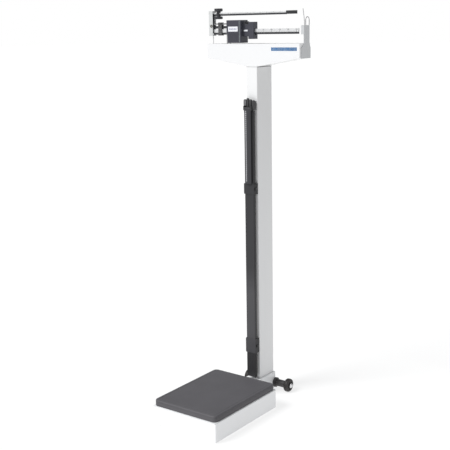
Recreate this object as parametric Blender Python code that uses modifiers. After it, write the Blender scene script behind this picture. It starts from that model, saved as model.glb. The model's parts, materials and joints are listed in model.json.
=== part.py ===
"""Physician beam scale: platform on a lever train, column, two-bar weigh beam and height rod.

Metres, +Z up.  Front is -Y, the user's right is +X.  The origin is on the floor under the
middle of the whole scale.
"""
import math

import bmesh
import bpy
from mathutils import Matrix, Vector

# ---------------------------------------------------------------- driving dimensions
GAP = 0.0003                # clearance between touching pieces
SIDES = 20                  # sides of a turned piece

BASE_W = 0.276
BASE_L = 0.364
BASE_Z = (0.004, 0.071)     # underside and rim of the base tray
BASE_FRONT = -0.2725
BASE_REAR = BASE_FRONT + BASE_L
SHEET = 0.0025              # base and neck sheet thickness
FOOT_R = 0.017

NECK_W = 0.060
NECK_REAR = 0.2492
NECK_TOP = 0.068

MAT_W = 0.270
MAT_L = 0.358
MAT_Z = (0.0733, 0.0951)
MAT_SKIN = 0.003

COLUMN_W = 0.0468
COLUMN_Y = (0.1553, 0.2472)
COLUMN_TOP = 1.2222
COLUMN_WALL = 0.0018

BEAM_Y = 0.1832             # plane of both bars, the steelyard rod and the levers' noses
BEAM_T = 0.006              # bar thickness
PIVOT_X = -0.1175           # main knife edge of the beam
PIVOT_Z = 1.3605
LOAD_X = -0.1875            # load knife edge of the beam
LOAD_Z = 1.3655
BAR_LEFT = -0.1822
UPPER_BAR_RIGHT = 0.1287
UPPER_BAR_Z = (1.401, 1.407)
UPPER_PLATE_TOP = 1.412
LOWER_BAR_RIGHT = 0.178
LOWER_BAR_Z = (1.335, 1.342)
LOWER_PLATE_TOP = 1.354
SCREW_Z = 1.3725            # axis of the balance screw

HEAD_HALF = 0.196
HEAD_Y = (0.158, 0.2265)
HEAD_TOP = 1.3033
HEAD_END_Z = 1.2535         # underside at the two ends
HEAD_LOW_Z = 1.2246         # underside over the column
HEAD_SHEET = 0.0015
COVER_Z = (1.3000, 1.3015)

LEVER_FRONT = -0.235        # fulcrum of the long lever
LEVER_REAR = 0.062          # fulcrum of the short lever
LOAD_OFFSET = 0.060         # fulcrum to platform pivot
LONG_PIN_Z = 0.032
SHORT_PIN_Z = 0.046
LEVER_X = 0.112             # fulcrum stands, left and right of the middle
STIRRUP_X = 0.100
SHELF_Z = 1.267
SHELF_PIVOT_X = 0.090
PIN_R = 0.003

CHANNEL_W = 0.0384
CHANNEL_Y = (0.1326, 0.1451)
CHANNEL_Z = (0.0785, 1.0700)
CHANNEL_WALL = 0.002
HEAD_BLOCK_Z = (1.0740, 1.1160)
ARM_PIN = (0.1270, 1.0800)  # Y and Z of the folding arm's hinge
ARM_END_Z = 0.8120
ARM_W = 0.027
ROD_HEAD_HALF = 0.024
ROD_HEAD_Y = (0.1330, 0.1500)

WHEEL_R = 0.025
WHEEL_Y = 0.2475
WHEEL_Z = 0.0255
WHEEL_X = (0.081, 0.099)

ROT_XZ = (math.pi / 2, 0.0, 0.0)            # outline (u, v) stands in X and Z
ROT_YZ = (math.pi / 2, 0.0, math.pi / 2)    # outline (u, v) stands in Y and Z
ROT_XY = (0.0, 0.0, 0.0)
AXIS_X = (0.0, math.pi / 2, 0.0)            # turned about X
AXIS_Y = (-math.pi / 2, 0.0, 0.0)           # turned about Y
AXIS_Z = (0.0, 0.0, 0.0)

# ---------------------------------------------------------------- scene and collections
for old in list(bpy.data.objects):
    bpy.data.objects.remove(old, do_unlink=True)

SCALE = bpy.data.collections.new("beam_scale")
CUTTERS = bpy.data.collections.new("cutters")
bpy.context.scene.collection.children.link(SCALE)
bpy.context.scene.collection.children.link(CUTTERS)


def finish(name, colour, roughness, metallic=0.0):
    material = bpy.data.materials.new(name)
    material.use_nodes = True
    shader = material.node_tree.nodes["Principled BSDF"]
    shader.inputs["Base Color"].default_value = (*colour, 1.0)
    shader.inputs["Roughness"].default_value = roughness
    shader.inputs["Metallic"].default_value = metallic
    return material


WHITE = finish("white_enamel", (0.86, 0.87, 0.88), 0.35)
DARK = finish("dark_enamel", (0.045, 0.047, 0.055), 0.45)
BLACK = finish("black_plastic", (0.02, 0.02, 0.022), 0.5)
POISE = finish("poise_plastic", (0.07, 0.068, 0.085), 0.45)
RUBBER = finish("mat_rubber", (0.12, 0.115, 0.125), 0.8)
TYRE = finish("wheel_rubber", (0.025, 0.022, 0.02), 0.7)
STEEL = finish("plain_steel", (0.55, 0.55, 0.56), 0.4, 0.9)
BRIGHT = finish("bright_plate", (0.75, 0.76, 0.78), 0.25, 0.9)
IRON = finish("lever_iron", (0.18, 0.18, 0.19), 0.6, 0.6)
GREY = finish("grey_enamel", (0.55, 0.55, 0.56), 0.4)


# ---------------------------------------------------------------- building helpers
def carrier(name, at):
    """An empty on a joint's axis; the moving pieces hang from it."""
    empty = bpy.data.objects.new(name, None)
    empty.empty_display_size = 0.02
    empty.location = at
    SCALE.objects.link(empty)
    return empty


def place(name, data, material, at, rotation=AXIS_Z, parent=None, cutter=False):
    """Link an object with its origin at a world point, under a joint's empty if it moves."""
    piece = bpy.data.objects.new(name, data)
    data.materials.append(material)
    piece.rotation_euler = rotation
    piece.location = Vector(at)
    if parent:
        piece.parent = parent
        piece.location = Vector(at) - parent.location
    (CUTTERS if cutter else SCALE).objects.link(piece)
    if cutter:
        piece.hide_render = True
        piece.display_type = "WIRE"
    return piece


def middle(low, high):
    return tuple((a + b) / 2 for a, b in zip(low, high))


def block_mesh(name, low, high, plan_radius=0.0, edge_radius=0.0):
    """A box about its own middle; plan_radius rounds its upright edges, edge_radius its top."""
    size = [b - a for a, b in zip(low, high)]
    bm = bmesh.new()
    bmesh.ops.create_cube(bm, size=1.0, matrix=Matrix.Diagonal((*size, 1.0)))
    if plan_radius:
        upright = [e for e in bm.edges if abs(e.verts[0].co.z - e.verts[1].co.z) > size[2] / 2]
        bmesh.ops.bevel(bm, geom=upright, offset=plan_radius, segments=4, profile=0.5, affect="EDGES")
    if edge_radius:
        top = [e for e in bm.edges if min(v.co.z for v in e.verts) > size[2] / 2 - 1e-6]
        bmesh.ops.bevel(bm, geom=top, offset=edge_radius, segments=2, profile=0.5, affect="EDGES")
    mesh = bpy.data.meshes.new(name)
    bm.to_mesh(mesh)
    bm.free()
    return mesh


def block(name, low, high, material, parent=None, plan_radius=0.0, edge_radius=0.0, cutter=False):
    mesh = block_mesh(name, low, high, plan_radius, edge_radius)
    return place(name, mesh, material, middle(low, high), parent=parent, cutter=cutter)


def ring(u, v, radius, count=12, start=0.0, turn=2 * math.pi):
    """Points of a circle, or of an arc when turn is less than a full circle."""
    steps = count if turn >= 2 * math.pi else count - 1
    angles = [start + turn * i / steps for i in range(count)]
    return [(u + radius * math.cos(a), v + radius * math.sin(a)) for a in angles]


def rectangle(u0, u1, v0, v1, radius=0.0):
    if not radius:
        return [(u0, v0), (u1, v0), (u1, v1), (u0, v1)]
    corners = [(u1 - radius, v0 + radius, -90), (u1 - radius, v1 - radius, 0),
               (u0 + radius, v1 - radius, 90), (u0 + radius, v0 + radius, 180)]
    points = []
    for u, v, start in corners:
        points += ring(u, v, radius, 4, math.radians(start), math.pi / 2)
    return points


def turns_left(outline):
    """True for an outline that runs anticlockwise."""
    pairs = zip(outline, outline[1:] + outline[:1])
    return sum(u0 * v1 - u1 * v0 for (u0, v0), (u1, v1) in pairs) > 0


def plate(name, outlines, thickness, material, at, rotation, parent=None, cutter=False):
    """A flat outline, then its holes, given a thickness; its origin is mid-thickness.  The
    outside runs anticlockwise and the holes clockwise, so that every side faces out."""
    curve = bpy.data.curves.new(name, "CURVE")
    curve.dimensions = "2D"
    curve.fill_mode = "BOTH"
    curve.extrude = thickness / 2
    for number, outline in enumerate(outlines):
        if turns_left(outline) == (number > 0):
            outline = outline[::-1]
        spline = curve.splines.new("POLY")
        spline.points.add(len(outline) - 1)
        for point, (u, v) in zip(spline.points, outline):
            point.co = (u, v, 0.0, 1.0)
        spline.use_cyclic_u = True
    return place(name, curve, material, at, rotation, parent, cutter)


def as_mesh(piece):
    """Turn a curve object into a mesh object, so that it can be cut or joined."""
    bpy.context.view_layer.update()
    depsgraph = bpy.context.evaluated_depsgraph_get()
    mesh = bpy.data.meshes.new_from_object(piece.evaluated_get(depsgraph))
    bm = bmesh.new()
    bm.from_mesh(mesh)
    bmesh.ops.remove_doubles(bm, verts=bm.verts, dist=1e-5)
    bmesh.ops.recalc_face_normals(bm, faces=bm.faces)
    bm.to_mesh(mesh)
    bm.free()
    name = piece.name
    collection = piece.users_collection[0]
    solid = bpy.data.objects.new(name, mesh)
    solid.matrix_world = piece.matrix_world
    if piece.parent:
        solid.parent = piece.parent
        solid.matrix_parent_inverse = piece.matrix_parent_inverse
        solid.matrix_world = piece.matrix_world
    collection.objects.link(solid)
    bpy.data.objects.remove(piece, do_unlink=True)
    solid.name = name
    return solid


def turned(name, profile, material, at, rotation, parent=None, cutter=False, steps=SIDES):
    """A profile of (radius, height) turned about the piece's own Z.  A profile that starts and
    ends off the axis is a ring and is closed; it runs down its outer side."""
    hollow = profile[0][0] > 0
    mesh = bpy.data.meshes.new(name)
    count = len(profile)
    edges = [(i, i + 1) for i in range(count - 1)]
    if hollow:
        edges.append((count - 1, 0))
    mesh.from_pydata([(r, 0.0, h) for r, h in profile], edges, [])
    piece = place(name, mesh, material, at, rotation, parent, cutter)
    screw = piece.modifiers.new("turn", "SCREW")
    screw.steps = steps
    screw.render_steps = steps
    screw.use_merge_vertices = True
    screw.merge_threshold = 0.00001
    screw.use_smooth_shade = True
    return piece


def pin(name, radius, length, material, at, rotation, parent=None, cutter=False, steps=12):
    half = length / 2
    profile = [(0.0, half), (radius, half), (radius, -half), (0.0, -half)]
    return turned(name, profile, material, at, rotation, parent, cutter, steps)


def wire(name, points, radius, material, parent=None):
    """A round wire along world points, with closed ends."""
    start = Vector(points[0])
    curve = bpy.data.curves.new(name, "CURVE")
    curve.dimensions = "3D"
    curve.bevel_depth = radius
    curve.bevel_resolution = 1
    curve.use_fill_caps = True
    spline = curve.splines.new("POLY")
    spline.points.add(len(points) - 1)
    for point, co in zip(spline.points, points):
        point.co = (*(Vector(co) - start), 1.0)
    return place(name, curve, material, start, parent=parent)


def boolean(piece, tool, operation):
    modifier = piece.modifiers.new(operation.lower() + "_" + tool.name, "BOOLEAN")
    modifier.operation = operation
    modifier.solver = "EXACT"
    modifier.object = tool


def cut_box(piece, low, high):
    boolean(piece, block(piece.name + "_cut", low, high, BLACK, cutter=True), "DIFFERENCE")


def cut_round(piece, radius, length, at, rotation):
    cutter = pin(piece.name + "_hole", radius, length, BLACK, at, rotation, cutter=True, steps=16)
    boolean(piece, cutter, "DIFFERENCE")


# ---------------------------------------------------------------- base tray, neck and feet
def build_base():
    half = BASE_W / 2
    tray = block("base_tray", (-half, BASE_FRONT, BASE_Z[0]), (half, BASE_REAR, BASE_Z[1]), WHITE,
                 plan_radius=0.005)
    cut_box(tray, (-half + SHEET, BASE_FRONT + SHEET, BASE_Z[0] + SHEET),
            (half - SHEET, BASE_REAR - SHEET, BASE_Z[1] + 0.01))
    cut_box(tray, (-0.024, BASE_REAR - 0.01, 0.012), (0.024, BASE_REAR + 0.01, 0.060))

    half = NECK_W / 2
    front = BASE_REAR + GAP
    neck = block("neck_cover", (-half, front, BASE_Z[0]), (half, NECK_REAR, NECK_TOP), WHITE)
    cut_box(neck, (-half + SHEET, front - 0.01, BASE_Z[0] - 0.01),
            (half - SHEET, NECK_REAR - SHEET, NECK_TOP - SHEET))
    cut_round(neck, 0.008, 0.02, (0.0, BEAM_Y, NECK_TOP), AXIS_Z)

    foot_top = BASE_Z[0] - GAP
    profile = [(0.0, foot_top), (FOOT_R - 0.002, foot_top), (FOOT_R, 0.0), (0.0, 0.0)]
    inset = 0.026
    for side, x in (("left", -1), ("right", 1)):
        for end, y in (("front", BASE_FRONT + inset), ("rear", BASE_REAR - inset)):
            at = (x * (BASE_W / 2 - inset), y, 0.0)
            turned(f"foot_{end}_{side}", profile, TYRE, at, AXIS_Z)


# ---------------------------------------------------------------- lever train in the base
def ear_outline(pin_z, foot_z, half_foot, radius, up):
    """A plate with a round end about the pin and a straight foot, in Y and Z about the pin's Y."""
    start = 0.0 if up else math.pi
    arc = ring(0.0, pin_z, radius, 9, start, math.pi)
    sign = -1 if up else 1
    return arc + [(sign * half_foot, foot_z), (-sign * half_foot, foot_z)]


def build_levers(long_axis, short_axis, link_axis, platform, rod_axis):
    floor = BASE_Z[0] + SHEET + GAP
    pan_under = MAT_Z[1] - MAT_SKIN - 2 * GAP - 0.002 - GAP
    rows = (("front", LEVER_FRONT, LONG_PIN_Z, 1), ("rear", LEVER_REAR, SHORT_PIN_Z, -1))
    for end, y, z, inward in rows:
        for side, x in (("left", -1), ("right", 1)):
            hole = ring(0.0, z, PIN_R + 2 * GAP)
            stand = ear_outline(z, floor, 0.012, 0.0075, True)
            at = (x * LEVER_X, y, 0.0)
            plate(f"fulcrum_stand_{end}_{side}", [stand, hole], 0.005, IRON, at, ROT_YZ)
            hanger = ear_outline(z, pan_under, 0.011, 0.0075, False)
            at = (x * STIRRUP_X, y + inward * LOAD_OFFSET, 0.0)
            plate(f"platform_hanger_{end}_{side}", [hanger, hole], 0.004, IRON, at, ROT_YZ, platform)

    nose = BEAM_Y + 0.010
    long_half = [(0.106, LEVER_FRONT - 0.006), (0.106, LEVER_FRONT + 0.006), (0.094, -0.170),
                 (0.016, 0.070), (0.010, 0.100), (0.010, nose)]
    outer = long_half + [(-x, y) for x, y in reversed(long_half)]
    window = [(0.088, LEVER_FRONT + 0.010), (0.080, -0.170), (0.030, -0.020), (-0.030, -0.020),
              (-0.080, -0.170), (-0.088, LEVER_FRONT + 0.010)]
    # the cross tie that the short lever's nose presses on splits the window in two
    tie_y = (LEVER_FRONT + LEVER_REAR) / 2
    low_window = [window[0], window[1], (0.057, tie_y - 0.008), (-0.057, tie_y - 0.008), window[4], window[5]]
    high_window = [(0.047, tie_y + 0.008), (0.030, -0.030), (-0.030, -0.030), (-0.047, tie_y + 0.008)]
    rod_hole = ring(0.0, BEAM_Y, 0.0035)
    long_lever = plate("long_lever", [outer, low_window, high_window, rod_hole], 0.012, IRON,
                       (0.0, 0.0, LONG_PIN_Z), ROT_XY, long_axis)
    short_half = [(0.106, LEVER_REAR + 0.006), (0.106, LEVER_REAR - 0.006), (0.094, -0.004),
                  (0.008, tie_y - 0.006)]
    outer = short_half + [(-x, y) for x, y in reversed(short_half)]
    window = [(0.088, LEVER_REAR - 0.008), (0.080, -0.002), (0.016, tie_y + 0.022),
              (-0.016, tie_y + 0.022), (-0.080, -0.002), (-0.088, LEVER_REAR - 0.008)]
    short_lever = plate("short_lever", [outer, window], 0.008, IRON, (0.0, 0.0, SHORT_PIN_Z),
                        ROT_XY, short_axis)
    pins = ((long_lever, LEVER_FRONT, LONG_PIN_Z, 1), (short_lever, LEVER_REAR, SHORT_PIN_Z, -1))
    for lever, y, z, inward in pins:
        lever = as_mesh(lever)
        for x in (-1, 1):
            at = (x * (LEVER_X - 0.005), y, z)
            knife = pin(lever.name + "_pin", PIN_R, 0.020, IRON, at, AXIS_X, cutter=True)
            boolean(lever, knife, "UNION")
            at = (x * (STIRRUP_X - 0.004), y + inward * LOAD_OFFSET, z)
            knife = pin(lever.name + "_load_pin", PIN_R, 0.016, IRON, at, AXIS_X, cutter=True)
            boolean(lever, knife, "UNION")

    link_low = LONG_PIN_Z + 0.006 + GAP
    link_high = SHORT_PIN_Z - 0.004 - GAP
    pin("nose_link", 0.005, link_high - link_low, STEEL, (0.0, tie_y, (link_low + link_high) / 2),
        AXIS_Z, link_axis)

    collar_top = LONG_PIN_Z - 0.006 - GAP
    shelf_top = SHELF_Z + 0.005 + GAP
    profile = [(0.0, shelf_top + 0.006), (0.0055, shelf_top + 0.006), (0.0055, shelf_top),
               (0.0025, shelf_top), (0.0025, collar_top), (0.0055, collar_top),
               (0.0055, collar_top - 0.007), (0.0, collar_top - 0.007)]
    turned("steelyard_rod", profile, STEEL, (0.0, BEAM_Y, 0.0), AXIS_Z, rod_axis, steps=12)


# ---------------------------------------------------------------- platform
def build_platform(platform):
    y_mid = (BASE_FRONT + BASE_REAR) / 2
    half_x = MAT_W / 2
    half_y = MAT_L / 2
    mat = block("platform_mat", (-half_x, y_mid - half_y, MAT_Z[0]), (half_x, y_mid + half_y, MAT_Z[1]),
                RUBBER, platform, plan_radius=0.015, edge_radius=0.004)
    inner_x = half_x - MAT_SKIN
    inner_y = half_y - MAT_SKIN
    pocket = block("platform_mat_cut", (-inner_x, y_mid - inner_y, MAT_Z[0] - 0.01),
                   (inner_x, y_mid + inner_y, MAT_Z[1] - MAT_SKIN), BLACK, plan_radius=0.013, cutter=True)
    boolean(mat, pocket, "DIFFERENCE")
    wall = 0.002
    pan_x = inner_x - GAP
    pan_y = inner_y - GAP
    pan_top = MAT_Z[1] - MAT_SKIN - GAP
    pan = block("platform_pan", (-pan_x, y_mid - pan_y, MAT_Z[0] + GAP), (pan_x, y_mid + pan_y, pan_top),
                STEEL, platform, plan_radius=0.0127)
    hollow = block("platform_pan_cut", (-pan_x + wall, y_mid - pan_y + wall, MAT_Z[0] - 0.01),
                   (pan_x - wall, y_mid + pan_y - wall, pan_top - wall), BLACK, plan_radius=0.011, cutter=True)
    boolean(pan, hollow, "DIFFERENCE")


# ---------------------------------------------------------------- column
def build_column():
    half = COLUMN_W / 2
    foot = NECK_TOP + GAP
    length = COLUMN_TOP - foot
    outer = rectangle(-half, half, *COLUMN_Y, 0.003)
    inner = rectangle(-half + COLUMN_WALL, half - COLUMN_WALL, COLUMN_Y[0] + COLUMN_WALL,
                      COLUMN_Y[1] - COLUMN_WALL, 0.0015)
    plate("column_tube", [outer, inner], length, WHITE, (0.0, 0.0, foot + length / 2), ROT_XY)
    low = COLUMN_TOP + GAP
    high = HEAD_LOW_Z - GAP
    hole = ring(0.0, BEAM_Y, 0.008)
    plate("column_top_plate", [outer, hole], high - low, WHITE, (0.0, 0.0, (low + high) / 2), ROT_XY)


# ---------------------------------------------------------------- head housing
def head_outline(inset):
    """The housing's front outline, drawn in by a wall thickness; its floor is a shallow V."""
    half = HEAD_HALF - inset
    flat = 0.024
    top = HEAD_TOP + (0.02 if inset else 0.0)
    return [(-half, top), (-half, HEAD_END_Z + inset), (-flat, HEAD_LOW_Z + inset),
            (flat, HEAD_LOW_Z + inset), (half, HEAD_END_Z + inset), (half, top)]


def build_head():
    y_mid = (HEAD_Y[0] + HEAD_Y[1]) / 2
    depth = HEAD_Y[1] - HEAD_Y[0]
    shell = as_mesh(plate("head_shell", [head_outline(0.0)], depth, WHITE, (0.0, y_mid, 0.0), ROT_XZ))
    inside = as_mesh(plate("head_shell_inside", [head_outline(HEAD_SHEET)], depth - 2 * HEAD_SHEET,
                           BLACK, (0.0, y_mid, 0.0), ROT_XZ, cutter=True))
    inside.hide_render = True
    inside.display_type = "WIRE"
    boolean(shell, inside, "DIFFERENCE")
    cut_round(shell, 0.008, 0.02, (0.0, BEAM_Y, HEAD_LOW_Z), AXIS_Z)

    inset = HEAD_SHEET + GAP
    outline = rectangle(-HEAD_HALF + inset, HEAD_HALF - inset, HEAD_Y[0] + inset, HEAD_Y[1] - inset)
    link_hole = ring(LOAD_X, BEAM_Y, 0.0035)
    plate("head_cover", [outline, link_hole], COVER_Z[1] - COVER_Z[0], WHITE,
          (0.0, 0.0, sum(COVER_Z) / 2), ROT_XY)

    # fork that carries the beam's main knife edge, a channel standing on the cover
    foot = COVER_Z[1] + GAP
    top = PIVOT_Z + 0.0045
    inner = 0.0075
    outer = 0.0095
    section = [(-outer, foot), (outer, foot), (outer, top), (inner, top), (inner, foot + 0.002),
               (-inner, foot + 0.002), (-inner, top), (-outer, top)]
    fork = as_mesh(plate("beam_stand", [section], 0.006, STEEL, (PIVOT_X, BEAM_Y, 0.0), ROT_YZ))
    cut_round(fork, 0.0024, 0.03, (PIVOT_X, BEAM_Y, PIVOT_Z), AXIS_Y)

    # stand of the shelf lever: a channel on the sloping floor of the housing
    foot = HEAD_END_Z - (HEAD_HALF - SHELF_PIVOT_X - 0.006) * (HEAD_END_Z - HEAD_LOW_Z) / 0.172
    foot = foot + HEAD_SHEET + 2 * GAP
    section = [(y, z) for y, z in ((-0.011, foot), (0.011, foot), (0.011, SHELF_Z + 0.006),
                                   (0.008, SHELF_Z + 0.006), (0.008, foot + 0.003), (-0.008, foot + 0.003),
                                   (-0.008, SHELF_Z + 0.006), (-0.011, SHELF_Z + 0.006))]
    stand = as_mesh(plate("shelf_stand", [section], 0.012, STEEL, (SHELF_PIVOT_X, BEAM_Y, 0.0), ROT_YZ))
    cut_round(stand, 0.0026, 0.03, (SHELF_PIVOT_X, BEAM_Y, SHELF_Z), AXIS_Y)

    # right-hand guide: side cheek, narrow post and a forward lip, with its wire loop and pointer
    cheek = [(0.1667, 1.2525), (0.2262, 1.2525), (0.2262, 1.2890), (0.2190, 1.2990), (0.2190, 1.3636),
             (0.1830, 1.3636), (0.1830, 1.2990), (0.1667, 1.2890)]
    cheek_x = HEAD_HALF + GAP + 0.001
    post = as_mesh(plate("guide_post", [cheek], 0.002, GREY, (cheek_x, 0.0, 0.0), ROT_YZ))
    lip = block("guide_lip", (0.1862, 0.1830, 1.3330), (cheek_x, 0.1850, 1.3636), GREY, cutter=True)
    boolean(post, lip, "UNION")
    loop_z = 1.3800
    loop_r = 0.0115
    arch = ring(0.2065, loop_z, loop_r, 9, 0.0, math.pi)
    path = [(cheek_x, 0.2180, 1.3640)] + [(cheek_x, y, z) for y, z in arch] + [(cheek_x, 0.1950, 1.3640)]
    wire("trig_loop", path, 0.0013, BRIGHT)
    wire("balance_pointer", [(cheek_x, 0.1780, 1.4186), (cheek_x, 0.1850, 1.3900),
                             (cheek_x, 0.1875, 1.3640)], 0.0011, BRIGHT)


# ---------------------------------------------------------------- transfer in the head
def build_transfer(shelf_axis, stirrup_axis):
    eye = 0.006
    left = LOAD_X - 0.006
    outline = rectangle(left, SHELF_PIVOT_X + 0.008, BEAM_Y - eye, BEAM_Y + eye, 0.002)
    holes = [ring(LOAD_X, BEAM_Y, 0.0030), ring(0.0, BEAM_Y, 0.0034)]
    lever = as_mesh(plate("shelf_lever", [outline] + holes, 0.010, IRON, (0.0, 0.0, SHELF_Z),
                          ROT_XY, shelf_axis))
    shaft = pin("shelf_lever_pin", 0.002, 0.026, IRON, (SHELF_PIVOT_X, BEAM_Y, SHELF_Z), AXIS_Y, cutter=True)
    boolean(lever, shaft, "UNION")

    half_y = 0.0105
    legs = rectangle(-half_y, half_y, 1.3310, 1.4185)
    gap = rectangle(-half_y + 0.002, half_y - 0.002, 1.3335, 1.4160)
    stirrup = as_mesh(plate("load_stirrup", [legs, gap], 0.017, GREY, (LOAD_X - 0.0025, BEAM_Y, 0.0), ROT_YZ,
                            stirrup_axis))
    cut_round(stirrup, 0.0024, 0.03, (LOAD_X, BEAM_Y, LOAD_Z), AXIS_Y)
    lever_under = SHELF_Z - 0.005 - GAP
    profile = [(0.0, 1.3310 - GAP), (0.0018, 1.3310 - GAP), (0.0018, lever_under), (0.0045, lever_under),
               (0.0045, lever_under - 0.005), (0.0, lever_under - 0.005)]
    turned("load_link", profile, STEEL, (LOAD_X, BEAM_Y, 0.0), AXIS_Z, stirrup_axis, steps=10)


# ---------------------------------------------------------------- weigh beam and poises
def bar(name, left, right, low, high, material, parent):
    half = BEAM_T / 2
    return block(name, (left, BEAM_Y - half, low), (right, BEAM_Y + half, high), material, parent)


def build_beam(beam):
    left = LOAD_X - 0.005
    right = LOAD_X + 0.005
    web_end = PIVOT_X + 0.0035
    web = (PIVOT_Z - 0.004, PIVOT_Z + 0.004)
    hole = 0.0022
    outline = [(left, 1.3400), (right, 1.3400), (right, web[0]), (web_end, web[0]),
               (web_end, SCREW_Z + 0.0040), (web_end - 0.0040, SCREW_Z + 0.0040),
               (web_end - 0.0040, web[1] + 0.0010), (right, web[1] + 0.0010), (right, 1.4090), (left, 1.4090)]
    pivots = [ring(LOAD_X, LOAD_Z, hole), ring(PIVOT_X + 0.0002, PIVOT_Z, hole, 10)]
    plate("beam_casting", [outline] + pivots, 0.005, DARK, (0.0, BEAM_Y, 0.0), ROT_XZ, beam)
    for name, x, z, length in (("main_knife", PIVOT_X, PIVOT_Z, 0.024), ("load_knife", LOAD_X, LOAD_Z, 0.024)):
        pin(name, 0.0019, length, STEEL, (x, BEAM_Y, z), AXIS_Y, beam)

    bar("upper_bar", BAR_LEFT, UPPER_BAR_RIGHT, *UPPER_BAR_Z, DARK, beam)
    bar("upper_scale_plate", BAR_LEFT, UPPER_BAR_RIGHT, UPPER_BAR_Z[1] + GAP, UPPER_PLATE_TOP, BRIGHT, beam)
    cap_low = (UPPER_BAR_RIGHT + GAP, BEAM_Y - 0.006, 1.4020)
    block("upper_end_cap", cap_low, (0.1690, BEAM_Y + 0.006, 1.4135), BLACK, beam, plan_radius=0.002)
    bar("lower_bar", BAR_LEFT, LOWER_BAR_RIGHT, *LOWER_BAR_Z, DARK, beam)
    bar("lower_scale_plate", BAR_LEFT, LOWER_BAR_RIGHT, LOWER_BAR_Z[1] + GAP, LOWER_PLATE_TOP, BRIGHT, beam)
    screw_left = right + GAP
    screw_right = web_end - 0.0040 - GAP
    pin("balance_screw", 0.0022, screw_right - screw_left, STEEL,
        ((screw_left + screw_right) / 2, BEAM_Y, SCREW_Z), AXIS_X, beam)


def build_poises(main, small, weight, pawl):
    # balance weight: an upside-down U over the web and the lower bar, threaded on the screw
    y0 = BEAM_Y - 0.0062
    y1 = BEAM_Y + 0.0062
    piece = block("balance_weight", (-0.1605, y0, 1.3320), (-0.1435, y1, 1.3780), POISE, weight)
    slot = BEAM_T / 2 + 0.0008
    cut_box(piece, (-0.17, BEAM_Y - slot, 1.32), (-0.13, BEAM_Y + slot, PIVOT_Z + 0.0070))
    cut_round(piece, 0.0025, 0.03, (-0.152, BEAM_Y, SCREW_Z), AXIS_X)

    # main poise: body, neck and nose in one casting, with the lower bar running through it
    side = [(-0.1120, 1.3850), (-0.1120, 1.3440), (-0.1080, 1.3280), (-0.1080, 1.3058), (-0.0490, 1.3058),
            (-0.0490, 1.3850)]
    body = as_mesh(plate("main_poise", [side], 0.0440, POISE, (0.0, BEAM_Y, 0.0), ROT_XZ, main))
    neck = block("main_poise_neck", (-0.060, BEAM_Y - 0.008, 1.3280), (-0.015, BEAM_Y + 0.008, 1.3700),
                 POISE, cutter=True)
    nose = block("main_poise_nose", (-0.024, BEAM_Y - 0.013, 1.3190), (-0.001, BEAM_Y + 0.013, 1.3780),
                 POISE, cutter=True)
    boolean(body, neck, "UNION")
    boolean(body, nose, "UNION")
    cut_box(body, (-0.13, BEAM_Y - slot, LOWER_BAR_Z[0] - 0.0012), (0.01, BEAM_Y + slot, LOWER_PLATE_TOP + 0.0012))
    cut_box(body, (-0.0412, BEAM_Y - 0.0032, 1.3600), (-0.0328, BEAM_Y + 0.0032, 1.3800))
    tee = [(-0.0450, 1.3723), (-0.0400, 1.3723), (-0.0400, 1.3630), (-0.0340, 1.3630), (-0.0340, 1.3723),
           (-0.0290, 1.3723), (-0.0290, 1.3800), (-0.0450, 1.3800)]
    plate("poise_pawl", [tee], 0.0054, BLACK, (0.0, BEAM_Y, 0.0), ROT_XZ, pawl)

    # small poise: a turned spool with the upper bar through its waist
    x = -0.162
    profile = [(0.0, 1.4270), (0.0130, 1.4270), (0.0150, 1.4255), (0.0150, 1.4175), (0.0075, 1.4150),
               (0.0075, 1.4000), (0.0150, 1.3980), (0.0150, 1.3905), (0.0135, 1.3895), (0.0, 1.3895)]
    spool = turned("small_poise", profile, POISE, (x, BEAM_Y, 0.0), AXIS_Z, small)
    cut_box(spool, (x - 0.02, BEAM_Y - slot, UPPER_BAR_Z[0] - 0.0008),
            (x + 0.02, BEAM_Y + slot, UPPER_PLATE_TOP + 0.0008))


# ---------------------------------------------------------------- height rod
def rod_section(half_w, y0, y1, wall, low, high, name, material, parent=None):
    outer = rectangle(-half_w, half_w, y0, y1, 0.0012)
    inner = rectangle(-half_w + wall, half_w - wall, y0 + wall, y1 - wall)
    return plate(name, [outer, inner], high - low, material, (0.0, 0.0, (low + high) / 2), ROT_XY, parent)


def finger_outline(left, right, low, high, count):
    """A block outline whose top edge is a row of round fingers."""
    radius = (right - left) / (2 * count)
    points = [(left, low), (right, low)]
    for i in range(count):
        points += ring(right - radius * (2 * i + 1), high - radius, radius, 7, 0.0, math.pi)[:-1]
    return points + [(left, high - radius)]


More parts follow.
